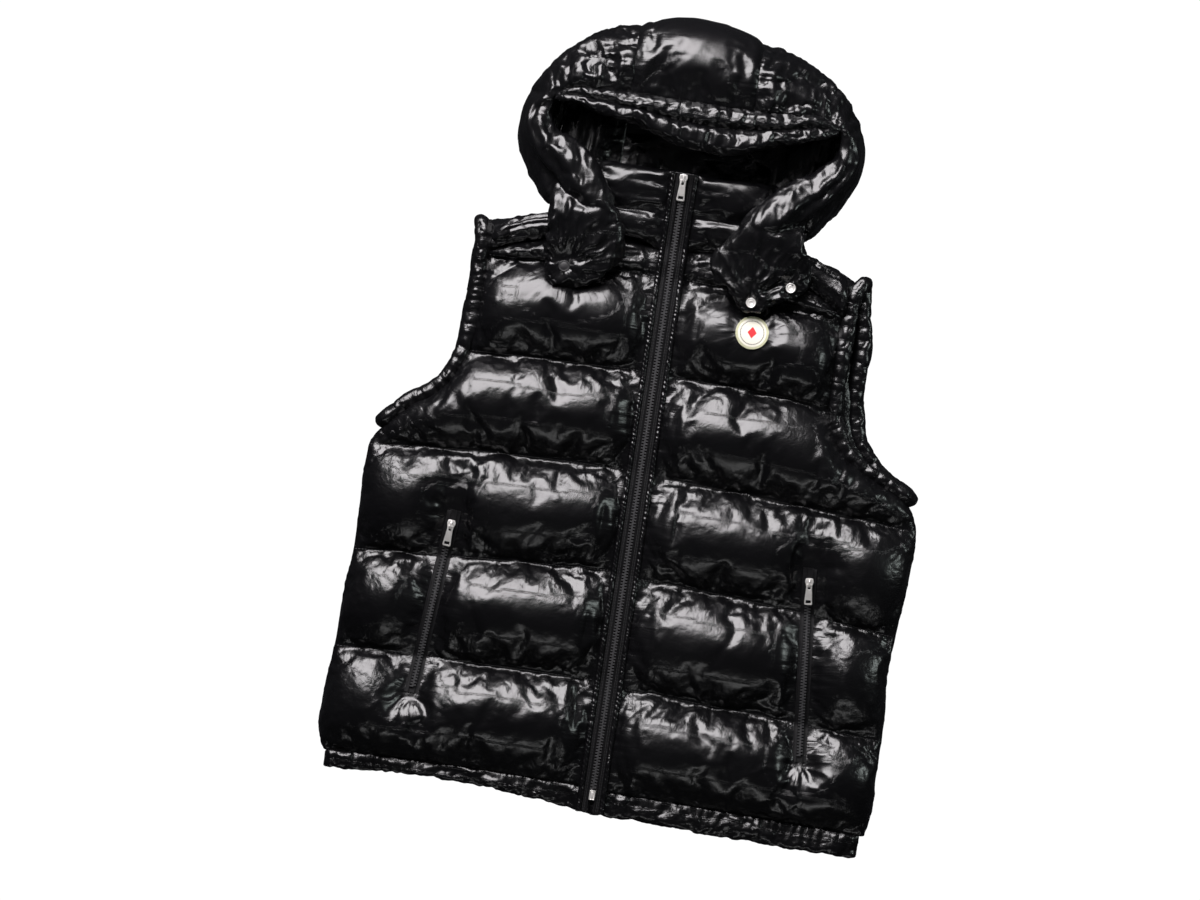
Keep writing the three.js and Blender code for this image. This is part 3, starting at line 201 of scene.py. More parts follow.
# %% Sockets as numbers
class Tone:
    """A socket of one finish, with the usual signs as Math nodes."""

    def __init__(self, finish, socket):
        self.finish = finish
        self.socket = socket

    def math(self, operation, *others, clamp=False):
        inputs = {0: self, **dict(enumerate(others, 1))}
        return self.finish.node("ShaderNodeMath", {"operation": operation, "use_clamp": clamp}, inputs)

    def __add__(self, other):
        return self.math("ADD", other)

    def __sub__(self, other):
        return self.math("SUBTRACT", other)

    def __rsub__(self, other):
        return self.math("MULTIPLY_ADD", -1.0, other)

    def __mul__(self, other):
        return self.math("MULTIPLY", other)

    def __truediv__(self, other):
        return self.math("DIVIDE", other)

    def __pow__(self, other):
        return self.math("POWER", other)

    def __gt__(self, other):
        return self.math("GREATER_THAN", other)

    def __lt__(self, other):
        return self.math("LESS_THAN", other)

    def __abs__(self):
        return self.math("ABSOLUTE")

    __radd__ = __add__
    __rmul__ = __mul__

    def clip(self):
        return self.math("ADD", 0.0, clamp=True)


class Finish:
    """A material under construction."""

    def __init__(self, name):
        self.material = bpy.data.materials.new(name)
        self.material.use_nodes = True
        self.tree = self.material.node_tree
        self.shader = self.tree.nodes["Principled BSDF"]

    def put(self, socket, value):
        if isinstance(value, Tone):
            self.tree.links.new(value.socket, socket)
        else:
            socket.default_value = value

    def node(self, kind, settings=None, values=None, out=0):
        """Adds a node: its settings first, then the values or links of its sockets."""
        made = self.tree.nodes.new(kind)
        for key, value in (settings or {}).items():
            setattr(made, key, value)
        for key, value in (values or {}).items():
            self.put(made.inputs[key], value)
        return Tone(self, made.outputs[out])

    def place(self, centre=(0, 0, 0), scale=(1, 1, 1), turn=(0, 0, 0)):
        """Object coordinates, moved to a centre, turned and scaled."""
        here = self.node("ShaderNodeTexCoord", out="Object")
        shift = self.node("ShaderNodeVectorMath", {"operation": "SUBTRACT"}, {0: here, 1: centre})
        return self.node("ShaderNodeMapping", None,
                         {"Vector": shift, "Rotation": turn, "Scale": scale}, "Vector")

    def axes(self, vector):
        split = self.node("ShaderNodeSeparateXYZ", None, {0: vector})
        outputs = split.socket.node.outputs
        return [Tone(self, outputs[i]) for i in range(3)]

    def noise(self, vector, scale, detail=3.0, rough=0.5, bend=0.0):
        values = {"Vector": vector, "Scale": scale, "Detail": detail, "Roughness": rough,
                  "Distortion": bend}
        return self.node("ShaderNodeTexNoise", {"noise_type": "FBM", "normalize": True}, values, "Fac")

    def ridge(self, *settings):
        """Noise folded at its middle: thin sharp crests between rounded hollows."""
        return 1.0 - abs(self.noise(*settings) * 2.0 - 1.0)

    def mix(self, share, a, b, kind="RGBA"):
        """Blends two colours, or two vectors, by a share from 0 to 1."""
        made = self.tree.nodes.new("ShaderNodeMix")
        made.data_type = kind
        for key, value in (("Factor", share), ("A", a), ("B", b)):
            self.put([s for s in made.inputs if s.name == key and s.enabled][0], value)
        return Tone(self, [s for s in made.outputs if s.enabled][0])

    def bump(self, height, depth, strength=1.0, under=None):
        values = {"Height": height, "Distance": depth, "Strength": strength}
        if under is not None:
            values["Normal"] = under
        return self.node("ShaderNodeBump", None, values)

    def ends(self, **sockets):
        """Sets the shader's own sockets; a name has _ for a space."""
        for key, value in sockets.items():
            self.put(self.shader.inputs[key.replace("_", " ")], value)
        return self.material


# %% [markdown]
# ## The shell cloth
#
# Down-proof nylon with a lacquer-like face: black, with a hard gloss. Two scales of crease live in
# the finish. Streaks run out from the nearest seam, which each padded piece knows through two
# attributes, and die away from it; a finer crackle lies everywhere. A weave shows only close up.
# The streaks are noise read at places drawn close to the seam, so it comes out long across it.

# %% Shell nylon
STREAKS_FADE = 0.065
SHORTENED_AWAY_FROM_SEAM = 0.14


def shell_nylon():
    f = Finish("shell_nylon")
    here = f.place()
    gap = f.node("ShaderNodeAttribute", {"attribute_name": "seam_gap"}, out="Fac")
    spot = f.node("ShaderNodeAttribute", {"attribute_name": "seam_spot"}, out="Vector")
    along = f.mix(SHORTENED_AWAY_FROM_SEAM, spot, here, "VECTOR")
    near = (1.0 - gap / STREAKS_FADE).clip() ** 1.3
    drift = f.noise(here, 11.0, 2.0)
    streak = f.ridge(along, 150.0, 2.0, 0.5, 0.3)
    crinkle = f.ridge(here, 36.0, 2.0, 0.5, 0.6)
    crackle = f.ridge(here, 170.0, 2.0, 0.5, 0.5)
    weave = f.noise(here, 2400.0, 0.0)
    rough = 0.2 + 0.1 * drift + 0.02 * weave
    colour = f.mix(drift, (0.0015, 0.0014, 0.0018, 1), (0.0035, 0.0035, 0.004, 1))
    large = f.bump(crinkle, 0.0008, 0.1)
    folds = f.bump(streak * near, 0.0009, 0.7, large)
    normal = f.bump(crackle + 0.05 * weave, 0.00012, 0.25, folds)
    return f.ends(Base_Color=colour, Roughness=rough, Normal=normal, IOR=1.52)


SHELL = shell_nylon()


# %% White floor
floor_finish = Finish("white_floor")
floor.data.materials.append(floor_finish.ends(
    Base_Color=(0, 0, 0, 1), Roughness=1.0, Emission_Color=(1, 1, 1, 1), Emission_Strength=1.05,
    Specular_IOR_Level=0.0))

# %% [markdown]
# ## Finding where a panel is sewn
#
# A panel is held wherever it meets a neighbour and along its quilting. One search tree over all the
# other solids tells, for any point of a panel, how far away its sewn edge is and where that edge
# lies. Pleats run out from the edge, so points that share an edge point share a fold.

# %% Sewn edges
SEWN_REACH = 0.07
QUILTING_STEP = 2


def tree_over(*meshes):
    """A search tree over several meshes."""
    points, faces = [], []
    for mesh in meshes:
        start = len(points)
        points += [v.co.copy() for v in mesh.vertices]
        faces += [[start + i for i in p.vertices] for p in mesh.polygons]
    return BVHTree.FromPolygons(points, faces)


def neighbours_of(node):
    """A tree over everything that could be sewn to a node; the loose zip pulls are left out."""
    return tree_over(*(n.data for name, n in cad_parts.items()
                       if name != node and not name.startswith("pull_")))


def quilting_points(side):
    """Points along the quilting of one front."""
    sign = -1 if side == "right" else 1
    return [to_frame(sign * x, seam_height(row, x / SIDE_REACH))
            for row in SEAMS[side] for x in range(1, SIDE_REACH + 8, QUILTING_STEP)]


def tree_of_points(points):
    tree = KDTree(len(points))
    for i, spot in enumerate(points):
        tree.insert(spot, i)
    tree.balance()
    return tree


def sewn_edges(places, node, side):
    """Distance of each place to its nearest sewn edge, the edge's point, and if a neighbour owns it."""
    tree = neighbours_of(node)
    quilting = tree_of_points(quilting_points(side)) if side else None
    gaps = np.full(len(places), SEWN_REACH)
    roots = places.copy()
    meets = np.zeros(len(places), bool)
    for i, place in enumerate(places):
        if side:
            line, _, _ = quilting.find((place[0], place[1], 0))
            flat = math.hypot(place[0] - line.x, place[1] - line.y)
            if flat < gaps[i]:
                gaps[i], roots[i] = flat, (line.x, line.y, place[2])
        spot, _, _, gap = tree.find_nearest(place, gaps[i])
        if spot is not None and gap < gaps[i]:
            gaps[i], roots[i], meets[i] = gap, spot, True
    return gaps, roots, meets


# %% [markdown]
# ## Swelling the cloth
#
# The recipe for down: copy the solid, remesh it into even squares, pin what is sewn, let the cloth
# grow by a few per cent and blow it up. Cloth that is longer than its seam has to pucker, which is
# how real quilting gets its folds. The move is capped, applied and subdivided once, and then finer
# pleats are pressed in at the seams.

# %% Points as arrays
def coordinates(mesh):
    flat = np.empty(len(mesh.vertices) * 3)
    mesh.vertices.foreach_get("co", flat)
    return flat.reshape(-1, 3)


def set_coordinates(mesh, places):
    mesh.vertices.foreach_set("co", places.ravel())
    mesh.update()


def normals_of(mesh):
    flat = np.empty(len(mesh.vertices) * 3)
    mesh.vertices.foreach_get("normal", flat)
    return flat.reshape(-1, 3)


def noise_at(places, pitch, seed):
    """Smooth noise from -1 to 1 at many points; pitch is its length in metres."""
    scaled = places / pitch + np.array([7.31, 3.17, 5.73]) * seed
    return np.array([noise.noise(p) for p in scaled.tolist()])


def keep(mesh, name, values):
    """Stores a number or a vector for each point, for the finish to read."""
    vector = values.ndim == 2
    layer = mesh.attributes.new(name, "FLOAT_VECTOR" if vector else "FLOAT", "POINT")
    layer.data.foreach_set("vector" if vector else "value", values.ravel())


def kept(mesh, name, vector=False):
    flat = np.empty(len(mesh.vertices) * (3 if vector else 1))
    mesh.attributes[name].data.foreach_get("vector" if vector else "value", flat)
    return flat.reshape(-1, 3) if vector else flat


# %% Copy, remesh and swell
FRAMES = 20
HELD_WITHIN = 0.0034


def cloth_from(node, name, voxel):
    """A copy of a solid, closed and remeshed into even squares."""
    obj = bpy.data.objects.new(name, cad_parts[node].data.copy())
    bpy.context.collection.objects.link(obj)
    obj.data.materials.clear()
    only(obj)
    bpy.ops.object.mode_set(mode="EDIT")
    bpy.ops.mesh.select_all(action="SELECT")
    bpy.ops.mesh.remove_doubles(threshold=1e-5)
    bpy.ops.object.mode_set(mode="OBJECT")
    obj.data.remesh_voxel_size = voxel
    bpy.ops.object.voxel_remesh()
    return obj


def hold(obj, name, points):
    """Puts points into a new vertex group."""
    obj.vertex_groups.new(name=name).add(points.tolist(), 1.0, "REPLACE")


def swell(obj, free, pressure, growth, cap, stiff):
    """Blows the free points up, and keeps each within cap of where it began."""
    start = coordinates(obj.data)
    hold(obj, "sewn", np.nonzero(~free)[0])
    only(obj)
    bpy.ops.object.modifier_add(type="CLOTH")
    cloth = obj.modifiers[-1]
    settings = cloth.settings
    settings.quality = 4
    settings.mass = 0.12
    settings.tension_stiffness = settings.compression_stiffness = 12
    settings.shear_stiffness = 4
    settings.bending_stiffness = stiff
    settings.air_damping = 2
    settings.use_pressure = True
    settings.uniform_pressure_force = pressure
    settings.shrink_min = -growth
    settings.effector_weights.gravity = 0
    settings.vertex_group_mass = "sewn"
    cloth.point_cache.frame_start = 1
    cloth.point_cache.frame_end = FRAMES
    for step in range(1, FRAMES + 1):
        bpy.context.scene.frame_set(step)
    only(obj)
    bpy.ops.object.modifier_apply(modifier=cloth.name)
    bpy.context.scene.frame_set(1)
    obj.vertex_groups.clear()
    moved = coordinates(obj.data) - start
    length = np.linalg.norm(moved, axis=1)
    share = np.minimum(1, cap / np.maximum(length, 1e-9))
    set_coordinates(obj.data, start + moved * share[:, None])
    return float(length.max())


# %% [markdown]
# ## Room for the zip pulls
#
# A pull swings up and over towards the hood, so the cloth beyond each slider stays as low as its
# solid. Everything that lifts cloth is scaled by how far away that line is.

# %% Room for the zip pulls
SWING = 0.024
PULL_HALF_WIDTH = 0.009


def calm(places):
    """0 where a zip pull swings over the cloth, rising to 1 well away from it."""
    away = np.full(len(places), 1.0)
    for place in ("front", "pocket_right", "pocket_left"):
        low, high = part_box(f"slider_{place}")
        x, y = (low[0] + high[0]) / 2, (low[1] + high[1]) / 2
        past = places[:, 1] - np.clip(places[:, 1], y, y + SWING)
        away = np.minimum(away, np.hypot(places[:, 0] - x, past))
    return np.clip(away / PULL_HALF_WIDTH - 1, 0, 1)


# %% [markdown]
# ## Folds pressed into the cloth
#
# Folds come in three kinds. Pleats run out from a seam, crumples lie anywhere, and a rosette fans out
# round a stud or past the end of a pocket. Each gives a height for every point, and the heights are
# added up and pushed out along the normals.

# %% Pleats, crumples and rosettes
LITTLE_LONGER = (1.0, 0.7, 1.0)
LONG_FOLDS = (1.0, 0.24, 1.0)


def push(obj, heights, floor_level):
    """Moves points along their normals, never below the level that the piece rests on."""
    places = coordinates(obj.data)
    places += normals_of(obj.data) * (heights * calm(places))[:, None]
    places[:, 2] = np.maximum(places[:, 2], floor_level)
    set_coordinates(obj.data, places)


def pleats(obj, pitch, height, reach, seed):
    """Folds that run out from the sewn edge and fade with distance."""
    places = coordinates(obj.data)
    gaps, roots = kept(obj.data, "seam_gap"), kept(obj.data, "seam_spot", True)
    along = roots + SHORTENED_AWAY_FROM_SEAM * (places - roots)
    folds = 1.7 * np.abs(noise_at(along, pitch, seed)) - 0.45
    folds += 0.7 * np.abs(noise_at(along, pitch * 0.5, seed + 1)) - 0.2
    spread = 0.55 + 1.1 * np.abs(noise_at(roots, pitch * 2.2, seed + 2))
    fade = np.clip(1 - gaps / (reach * spread), 0, 1) ** 1.3 * np.clip(gaps / 0.003, 0.25, 1)
    return height * folds * fade


def crumples(obj, pitch, height, seed, stretch=LITTLE_LONGER):
    """Uneven hollows with soft ridges between them, drawn out along one axis."""
    places = coordinates(obj.data) * np.array(stretch)
    hollows = np.abs(noise_at(places, pitch, seed))
    hollows += 0.45 * np.abs(noise_at(places, pitch * 0.42, seed + 1))
    return height * (0.45 - hollows)


ROSETTE_DEPTH = 0.03


def rosette(obj, centre, inner, outer, folds, height, seed, half=None):
    """Folds that fan out round a stud or the end of a pocket."""
    places = coordinates(obj.data)
    away = places - np.array(centre)
    radius = np.hypot(away[:, 0], away[:, 1])
    angle = np.arctan2(away[:, 1], away[:, 0])
    wave = np.cos(folds * angle + 1.7 * noise_at(places, 0.02, seed) + seed)
    fade = np.clip((radius - inner * 0.6) / (inner * 0.5), 0, 1)
    fade *= np.clip((outer - radius) / (outer - inner), 0, 1)
    fade *= np.abs(away[:, 2]) < ROSETTE_DEPTH
    if half is not None:
        fade *= np.clip(0.5 + 1.5 * (np.cos(angle - half)), 0, 1)
    return height * (1 - 2 * np.sqrt(np.abs(wave))) * fade


# %% [markdown]
# ## Dressing the padded pieces
#
# Each cloth solid goes through the same steps with its own numbers: the size of its squares, how
# much longer than its seams the cloth is, how far it may swell, and how close its pleats lie. The
# plain side that a panel rests on is left out of the simulation and closed again afterwards. Edges are
# drawn up to what they are sewn to, because remeshing wears them back by about half a square.

# %% One padded piece
dressed = {}


SEAM_CLOSES = 0.9
SEAM_GRIP = 0.003


def draw_to_seams(obj, gaps, roots, meets):
    """Pulls the edge of a piece up against what it is sewn to."""
    places = coordinates(obj.data)
    share = SEAM_CLOSES * np.clip(1.6 - gaps / SEAM_GRIP, 0, 1) * meets
    set_coordinates(obj.data, places + (roots - places) * share[:, None])


def edit_all(obj, *steps):
    """Runs steps in edit mode with everything selected."""
    only(obj)
    bpy.ops.object.mode_set(mode="EDIT")
    bpy.ops.mesh.select_all(action="SELECT")
    for step in steps:
        step()
    bpy.ops.object.mode_set(mode="OBJECT")


def open_underside(obj, level):
    """Takes away the plain faces that lie on the panel below."""
    pick(obj, lambda face: face.center.z < level and face.normal.z < -0.9)
    bpy.ops.mesh.delete(type="FACE")
    bpy.ops.object.mode_set(mode="OBJECT")


def close_underside(obj):
    only(obj)
    bpy.ops.object.mode_set(mode="EDIT")
    bpy.ops.mesh.select_mode(type="EDGE")
    bpy.ops.mesh.select_all(action="DESELECT")
    bpy.ops.mesh.select_non_manifold(extend=False)
    bpy.ops.mesh.fill_holes(sides=0)
    bpy.ops.mesh.select_all(action="SELECT")
    bpy.ops.mesh.normals_make_consistent(inside=False)
    bpy.ops.object.mode_set(mode="OBJECT")


def dress(node, name, voxel, seed, side=None, growth=0.05, cap=0.006, pressure=4.0, stiff=0.2,
          pitch=0.011, height=0.0014, reach=0.02, rough_pitch=0.05, rough=0.0012, ease=0.0004,
          smooth=8, underside=None, extra=None):
    """Turns a solid into a cloth piece.

    voxel is the size of its squares, and growth the share by which the cloth is longer than its seams.
    cap limits how far it swells, under a pressure and with a stiffness against bending. pitch, height
    and reach shape the pleats, rough_pitch and rough the crumples, and ease lifts the whole face. An
    underside is the height below which a panel is flat, and extra adds folds of its own.
    """
    obj = cloth_from(node, name, voxel)
    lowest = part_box(node)[0][2]
    if underside:
        open_underside(obj, underside)
    places = coordinates(obj.data)
    gaps, roots, meets = sewn_edges(places, node, side)
    free = (gaps > HELD_WITHIN) & (calm(places) > 0.5)
    if underside:
        free &= places[:, 2] > underside + 0.0005
    if smooth:
        hold(obj, "free", np.nonzero(free)[0])
        apply_modifier(obj, "SMOOTH", factor=0.5, iterations=smooth, vertex_group="free")
        obj.vertex_groups.clear()
    moved = swell(obj, free, pressure, growth, cap, stiff)
    draw_to_seams(obj, gaps, roots, meets)
    keep(obj.data, "seam_gap", gaps)
    keep(obj.data, "seam_spot", roots)
    apply_modifier(obj, "SUBSURF", levels=1, render_levels=1)
    push(obj, pleats(obj, pitch, height, reach, seed) + ease, lowest)
    push(obj, crumples(obj, rough_pitch, rough, seed + 5), lowest)
    if extra:
        push(obj, extra(obj), lowest)
    if underside:
        close_underside(obj)
    only(obj)
    bpy.ops.object.shade_smooth()
    obj.data.materials.append(SHELL)
    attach(obj, "vest")
    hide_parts(node)
    dressed[node] = obj
    triangles = sum(len(p.vertices) - 2 for p in obj.data.polygons)
    print(name, len(places), "points held by", int((~free).sum()), "; moved", round(moved * 1000, 1),
          "mm;", triangles, "triangles")
    return obj


# %% [markdown]
# ## The two fronts
#
# Each front is five filled channels and a small wedge at the neck. The cloth is a good deal longer
# than its seams here, and creases also fan out round the lower end of each pocket.

# %% Fronts
POCKET_ENDS = {"right": [(-204, 84), (-187, 286)], "left": [(210, 72), (191, 281)]}
POCKET_LEVEL = 50


def pocket_creases(side):
    """The creases that fan out past the two ends of a pocket."""
    def creases(obj):
        (low_x, low_y), (top_x, top_y) = POCKET_ENDS[side]
        low = to_frame(low_x, low_y, POCKET_LEVEL)
        top = to_frame(top_x, top_y, POCKET_LEVEL)
        below = rosette(obj, low, 0.008, 0.075, 5, 0.0011, 3, -math.pi / 2)
        return below + rosette(obj, top, 0.008, 0.035, 5, 0.0013, 4, math.pi / 2)

    return creases


for side, seed in (("right", 1), ("left", 31)):
    dress(f"front_{side}", f"quilted_front_{side}", 0.0042, seed, side, growth=0.035, cap=0.010,
          pressure=6.0, stiff=1.0, pitch=0.010, height=0.0011, reach=0.06, rough_pitch=0.08,
          rough=0.0013, smooth=18, underside=0.0331, extra=pocket_creases(side))

# %% [markdown]
# ## Yokes, hem bands and armhole bindings
#
# The shoulder yokes are small and tightly gathered. The hem and the armholes are narrow tunnels
# with elastic, so their pleats stand close together and run straight across.

# %% Yokes
for side, seed in (("right", 3), ("left", 13)):
    dress(f"yoke_{side}", f"padded_yoke_{side}", 0.003, seed, growth=0.08, cap=0.004,
          pitch=0.009, height=0.0018, reach=0.02)

# %% Hems and armholes
SLACK_OF_BINDING = to_frame(204, 505)


def plump(obj, rise=0.002, reach=0.024):
    """Fills the binding out where the left armhole's two rolls lie side by side."""
    away = (coordinates(obj.data) - np.array(SLACK_OF_BINDING))[:, :2]
    return rise * np.exp(-((np.linalg.norm(away, axis=1) / reach) ** 2))


for side, seed in (("right", 4), ("left", 14)):
    dress(f"hem_front_{side}", f"hem_tunnel_{side}", 0.0032, seed, growth=0.06, cap=0.003,
          pitch=0.008, height=0.0016, reach=0.02, ease=0.0006)
    dress(f"armhole_{side}", f"armhole_binding_{side}", 0.0028, seed + 2, growth=0.05, cap=0.0025,
          pitch=0.0055, height=0.0009, reach=0.012, ease=0.0021, smooth=3, rough=0.0005,
          extra=plump)
dress("hem_back", "hem_tunnel_back", 0.0044, 24, growth=0.05, cap=0.003, pitch=0.009, height=0.0015,
      reach=0.02)

# %% [markdown]
# ## The back
#
# The vest lies on its back panel, so most of it is pressed flat and unseen. Only its rolled sides
# show. It gets larger squares and the same treatment.

# %% Back
dress("back", "padded_back", 0.010, 41, growth=0.03, cap=0.005, pitch=0.016, height=0.0014,
      reach=0.03, rough_pitch=0.05, rough=0.0014)

# %% [markdown]
# ## Collar and hood
#
# The collar stands up round the zip. The hood is three panels with a double gathered band and a rolled
# edge along its face. Its sides run down into the flaps that carry the studs, where the cloth
# is bunched most, so folds fan out round each stud.

# %% Collar
STUDS = {"right": [(-111, 553)], "left": [(88, 543.5), (127, 565)]}
STUD_LEVEL = 72


def stud_folds(side):
    """The folds of one side of the hood: long ones, and fans round its studs."""
    def folds(obj):
        total = crumples(obj, 0.018, 0.0042, 9, LONG_FOLDS)
        for number, (x, y) in enumerate(STUDS[side]):
            centre = to_frame(x, y, STUD_LEVEL)
            total = total + rosette(obj, centre, 0.006, 0.026, 10, 0.0013, 5 + number)
        x, y = STUDS[side][0]
        return total + rosette(obj, to_frame(x, y, STUD_LEVEL), 0.02, 0.085, 11, 0.0022, 8, math.pi / 2)

    return folds


dress("collar", "padded_collar", 0.0036, 51, growth=0.07, cap=0.005, pitch=0.012, height=0.0014,
      reach=0.022, rough_pitch=0.05, rough=0.0018)

# %% Hood
dress("hood_centre", "hood_crown", 0.0038, 61, growth=0.04, cap=0.008, stiff=0.6, pitch=0.010,
      height=0.0014, reach=0.025, rough_pitch=0.09, rough=0.002, smooth=14)
for side, seed in (("right", 71), ("left", 81)):
    dress(f"hood_side_{side}", f"hood_side_panel_{side}", 0.0037, seed, growth=0.1, cap=0.009,
          pitch=0.013, height=0.0014, reach=0.03, rough_pitch=0.05, rough=0.0015, smooth=12,
          extra=stud_folds(side))
dress("hood_band", "hood_gathered_band", 0.0028, 91, growth=0.08, cap=0.003, pitch=0.009,
      height=0.0018, reach=0.014, rough=0.0008)
dress("hood_brim", "hood_rolled_edge", 0.0028, 95, growth=0.08, cap=0.003, pitch=0.008,
      height=0.0018, reach=0.014, rough=0.0008)

# %% [markdown]
# ## Finishes of the hardware
#
# The zips are black moulded plastic on a woven tape, with nickel-plated sliders. Plating is never
# even: its tone and roughness change in random patches, paler where the noise calls it rubbed. One stud
# is lacquered black.

# %% Tape, thread and plastic
def woven_tape():
    f = Finish("zip_tape_weave")
    ribs = f.noise(f.place(scale=(900, 2600, 900)), 1.0, 1.0)
    cloudy = f.noise(f.place(), 60.0, 2.0)
    colour = f.mix(cloudy, (0.003, 0.003, 0.0035, 1), (0.007, 0.0068, 0.0075, 1))
    return f.ends(Base_Color=colour, Roughness=0.5 + 0.2 * ribs, Specular_IOR_Level=0.13,
                  Normal=f.bump(ribs, 0.00015, 0.8))


def sewing_thread():
    f = Finish("sewing_thread")
    twist = f.noise(f.place(scale=(1, 1, 1)), 3200.0, 1.0)
    colour = f.mix(twist, (0.004, 0.004, 0.0045, 1), (0.012, 0.012, 0.013, 1))
    return f.ends(Base_Color=colour, Roughness=0.45 + 0.2 * twist, Normal=f.bump(twist, 0.0001, 0.7))


def moulded_plastic():
    f = Finish("moulded_plastic")
    flow = f.noise(f.place(), 420.0, 2.0)
    colour = f.mix(flow, (0.025, 0.025, 0.026, 1), (0.055, 0.055, 0.057, 1))
    return f.ends(Base_Color=colour, Roughness=0.16 + 0.12 * flow, Normal=f.bump(flow, 0.00008, 0.6))


TAPE, THREAD, PLASTIC = woven_tape(), sewing_thread(), moulded_plastic()


# %% Nickel and lacquer
def nickel_plate():
    f = Finish("nickel_plate")
    rubbed = f.noise(f.place(), 170.0, 3.0)
    scratch = f.noise(f.place(scale=(1, 0.12, 1)), 2600.0, 2.0)
    colour = f.mix(rubbed, (0.6, 0.585, 0.56, 1), (0.9, 0.885, 0.86, 1))
    return f.ends(Base_Color=colour, Metallic=0.6, Roughness=0.3 + 0.14 * rubbed + 0.06 * scratch,
                  Normal=f.bump(scratch, 0.00004, 0.4))


def black_lacquer():
    f = Finish("black_lacquer")
    worn = f.noise(f.place(), 240.0, 3.0)
    colour = f.mix(worn, (0.006, 0.006, 0.007, 1), (0.022, 0.021, 0.022, 1))
    return f.ends(Base_Color=colour, Roughness=0.34 + 0.18 * worn, Normal=f.bump(worn, 0.00006, 0.5))


NICKEL, LACQUER = nickel_plate(), black_lacquer()

# %% [markdown]
# ## Laying things on a surface
#
# Tape, teeth and stitches follow whatever carries them. A ray is dropped on the carrier at each
# point; where it misses by a hair, the nearest point of the surface serves.

# %% Drop and settle
def dropped(tree, x, y, start=0.2):
    """Height and slope of a surface straight below a point."""
    spot, normal, _, _ = tree.ray_cast(Vector((x, y, start)), Vector((0, 0, -1)))
    if spot is None:
        spot, normal, _, _ = tree.find_nearest(Vector((x, y, start / 4)))
    return spot.z, normal


def settle(obj, tree, lift=0.0):
    """Drops every point of a flat piece onto a surface."""
    places = coordinates(obj.data)
    for place in places:
        place[2] = dropped(tree, place[0], place[1])[0] + lift
    set_coordinates(obj.data, places)


def strip(name, start, end, wide, columns, rows):
    """A flat strip of squares from one point of the drawing to another."""
    start, end = to_frame(*start), to_frame(*end)
    run = end - start
    bpy.ops.object.select_all(action="DESELECT")
    bpy.ops.mesh.primitive_grid_add(x_subdivisions=columns, y_subdivisions=rows, size=1,
                                    location=(start + end) / 2)
    obj = newest(name)
    obj.rotation_euler = (0, 0, math.atan2(run.y, run.x) - math.pi / 2)
    obj.scale = (wide / 1000, run.length, 1)
    bpy.ops.object.transform_apply(location=True, rotation=True, scale=True)
    return obj


def finish_piece(obj, material, nodes=(), body="vest", sharp=40):
    """Gives a new piece its finish, its body and what it stands for."""
    obj.data.materials.clear()
    obj.data.materials.append(material)
    only(obj)
    bpy.ops.object.shade_smooth_by_angle(angle=math.radians(sharp))
    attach(obj, body)
    if nodes:
        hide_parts(*nodes)
    return obj


# %% [markdown]
# ## Zip tapes
#
# A zip tape is a woven ribbon with a cord along its inner edge, where the teeth are moulded on, and
# rows of topstitching further out. A strip of squares is settled on the solid, two rows of its
# points are raised or sunk, and Solidify gives it its thickness.

# %% Tapes of the front zip
ZIP_LOW, ZIP_TOP = -10.6, 667.6
CORD_OUT, STITCH_OUT = 4.4, 8.2


def lengthwise(obj, start, end, reach, lift):
    """Raises the points that lie a given distance to either side of a line."""
    start, end = to_frame(*start), to_frame(*end)
    run = (end - start).normalized()

    def near(point):
        away = (point.co - start)
        return abs(abs(run.x * away.y - run.y * away.x) - reach / 1000) < 0.00045

    found = pick(obj, near, "VERT")
    bpy.ops.transform.translate(value=(0, 0, lift))
    bpy.ops.object.mode_set(mode="OBJECT")
    return found


for side, sign in (("right", -1), ("left", 1)):
    solid = tree_over(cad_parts[f"zip_tape_{side}"].data)
    centre = sign * 8.4
    ribbon = strip(f"front_zip_tape_{side}", (centre, ZIP_LOW), (centre, ZIP_TOP), 10.4, 14, 200)
    settle(ribbon, solid, -0.0004)
    raised = lengthwise(ribbon, (0, ZIP_LOW), (0, ZIP_TOP), CORD_OUT, 0.0007)
    sunk = lengthwise(ribbon, (0, ZIP_LOW), (0, ZIP_TOP), STITCH_OUT, -0.0004)
    apply_modifier(ribbon, "SOLIDIFY", thickness=0.001, offset=-1)
    finish_piece(ribbon, TAPE, [f"zip_tape_{side}"])
    print(ribbon.name, raised, "points on the cord,", sunk, "under the stitching")

# %% [markdown]
# ## The gathered edge beside the zip
#
# The shell is gathered hard along the zip, so a narrow roll of tiny puckers shines on both sides. It
# is a strip of fine squares with a round section, pinched every few millimetres at an uneven beat.

# %% Gathered edges
GATHER = 0.0047
ACROSS, DOWN = 7, 620


def gathered_roll(name, start, end, wide, rise, tree, seed):
    """A thin puckered roll of cloth along a line."""
    roll = strip(name, start, end, wide, ACROSS, DOWN)
    flat = coordinates(roll.data)
    first, last = to_frame(*start), to_frame(*end)
    run = (last - first).normalized()
    across = ((flat[:, 0] - first.x) * run.y - (flat[:, 1] - first.y) * run.x) / (wide / 2000)
    settle(roll, tree)
    places = coordinates(roll.data)
    lean = 0.5 * np.sign(run.y) * across
    beat = flat[:, 1] / GATHER + 1.5 * noise_at(flat, 0.013, seed) + lean
    pinch = np.abs(np.sin(math.pi * beat)) ** 0.6
    depth = 0.7 + 0.3 * noise_at(flat, 0.009, seed + 1)
    section = np.sqrt(np.clip(1 - across**2, 0, 1))
    places[:, 2] += rise * section * (0.4 + 0.6 * pinch * depth) - 0.0006 * (1 - section)
    places[:, 0] += 0.0006 * noise_at(flat, 0.006, seed + 2) * section
    set_coordinates(roll.data, places)
    apply_modifier(roll, "SOLIDIFY", thickness=0.0009, offset=-1)
    finish_piece(roll, SHELL, sharp=70)
    return roll


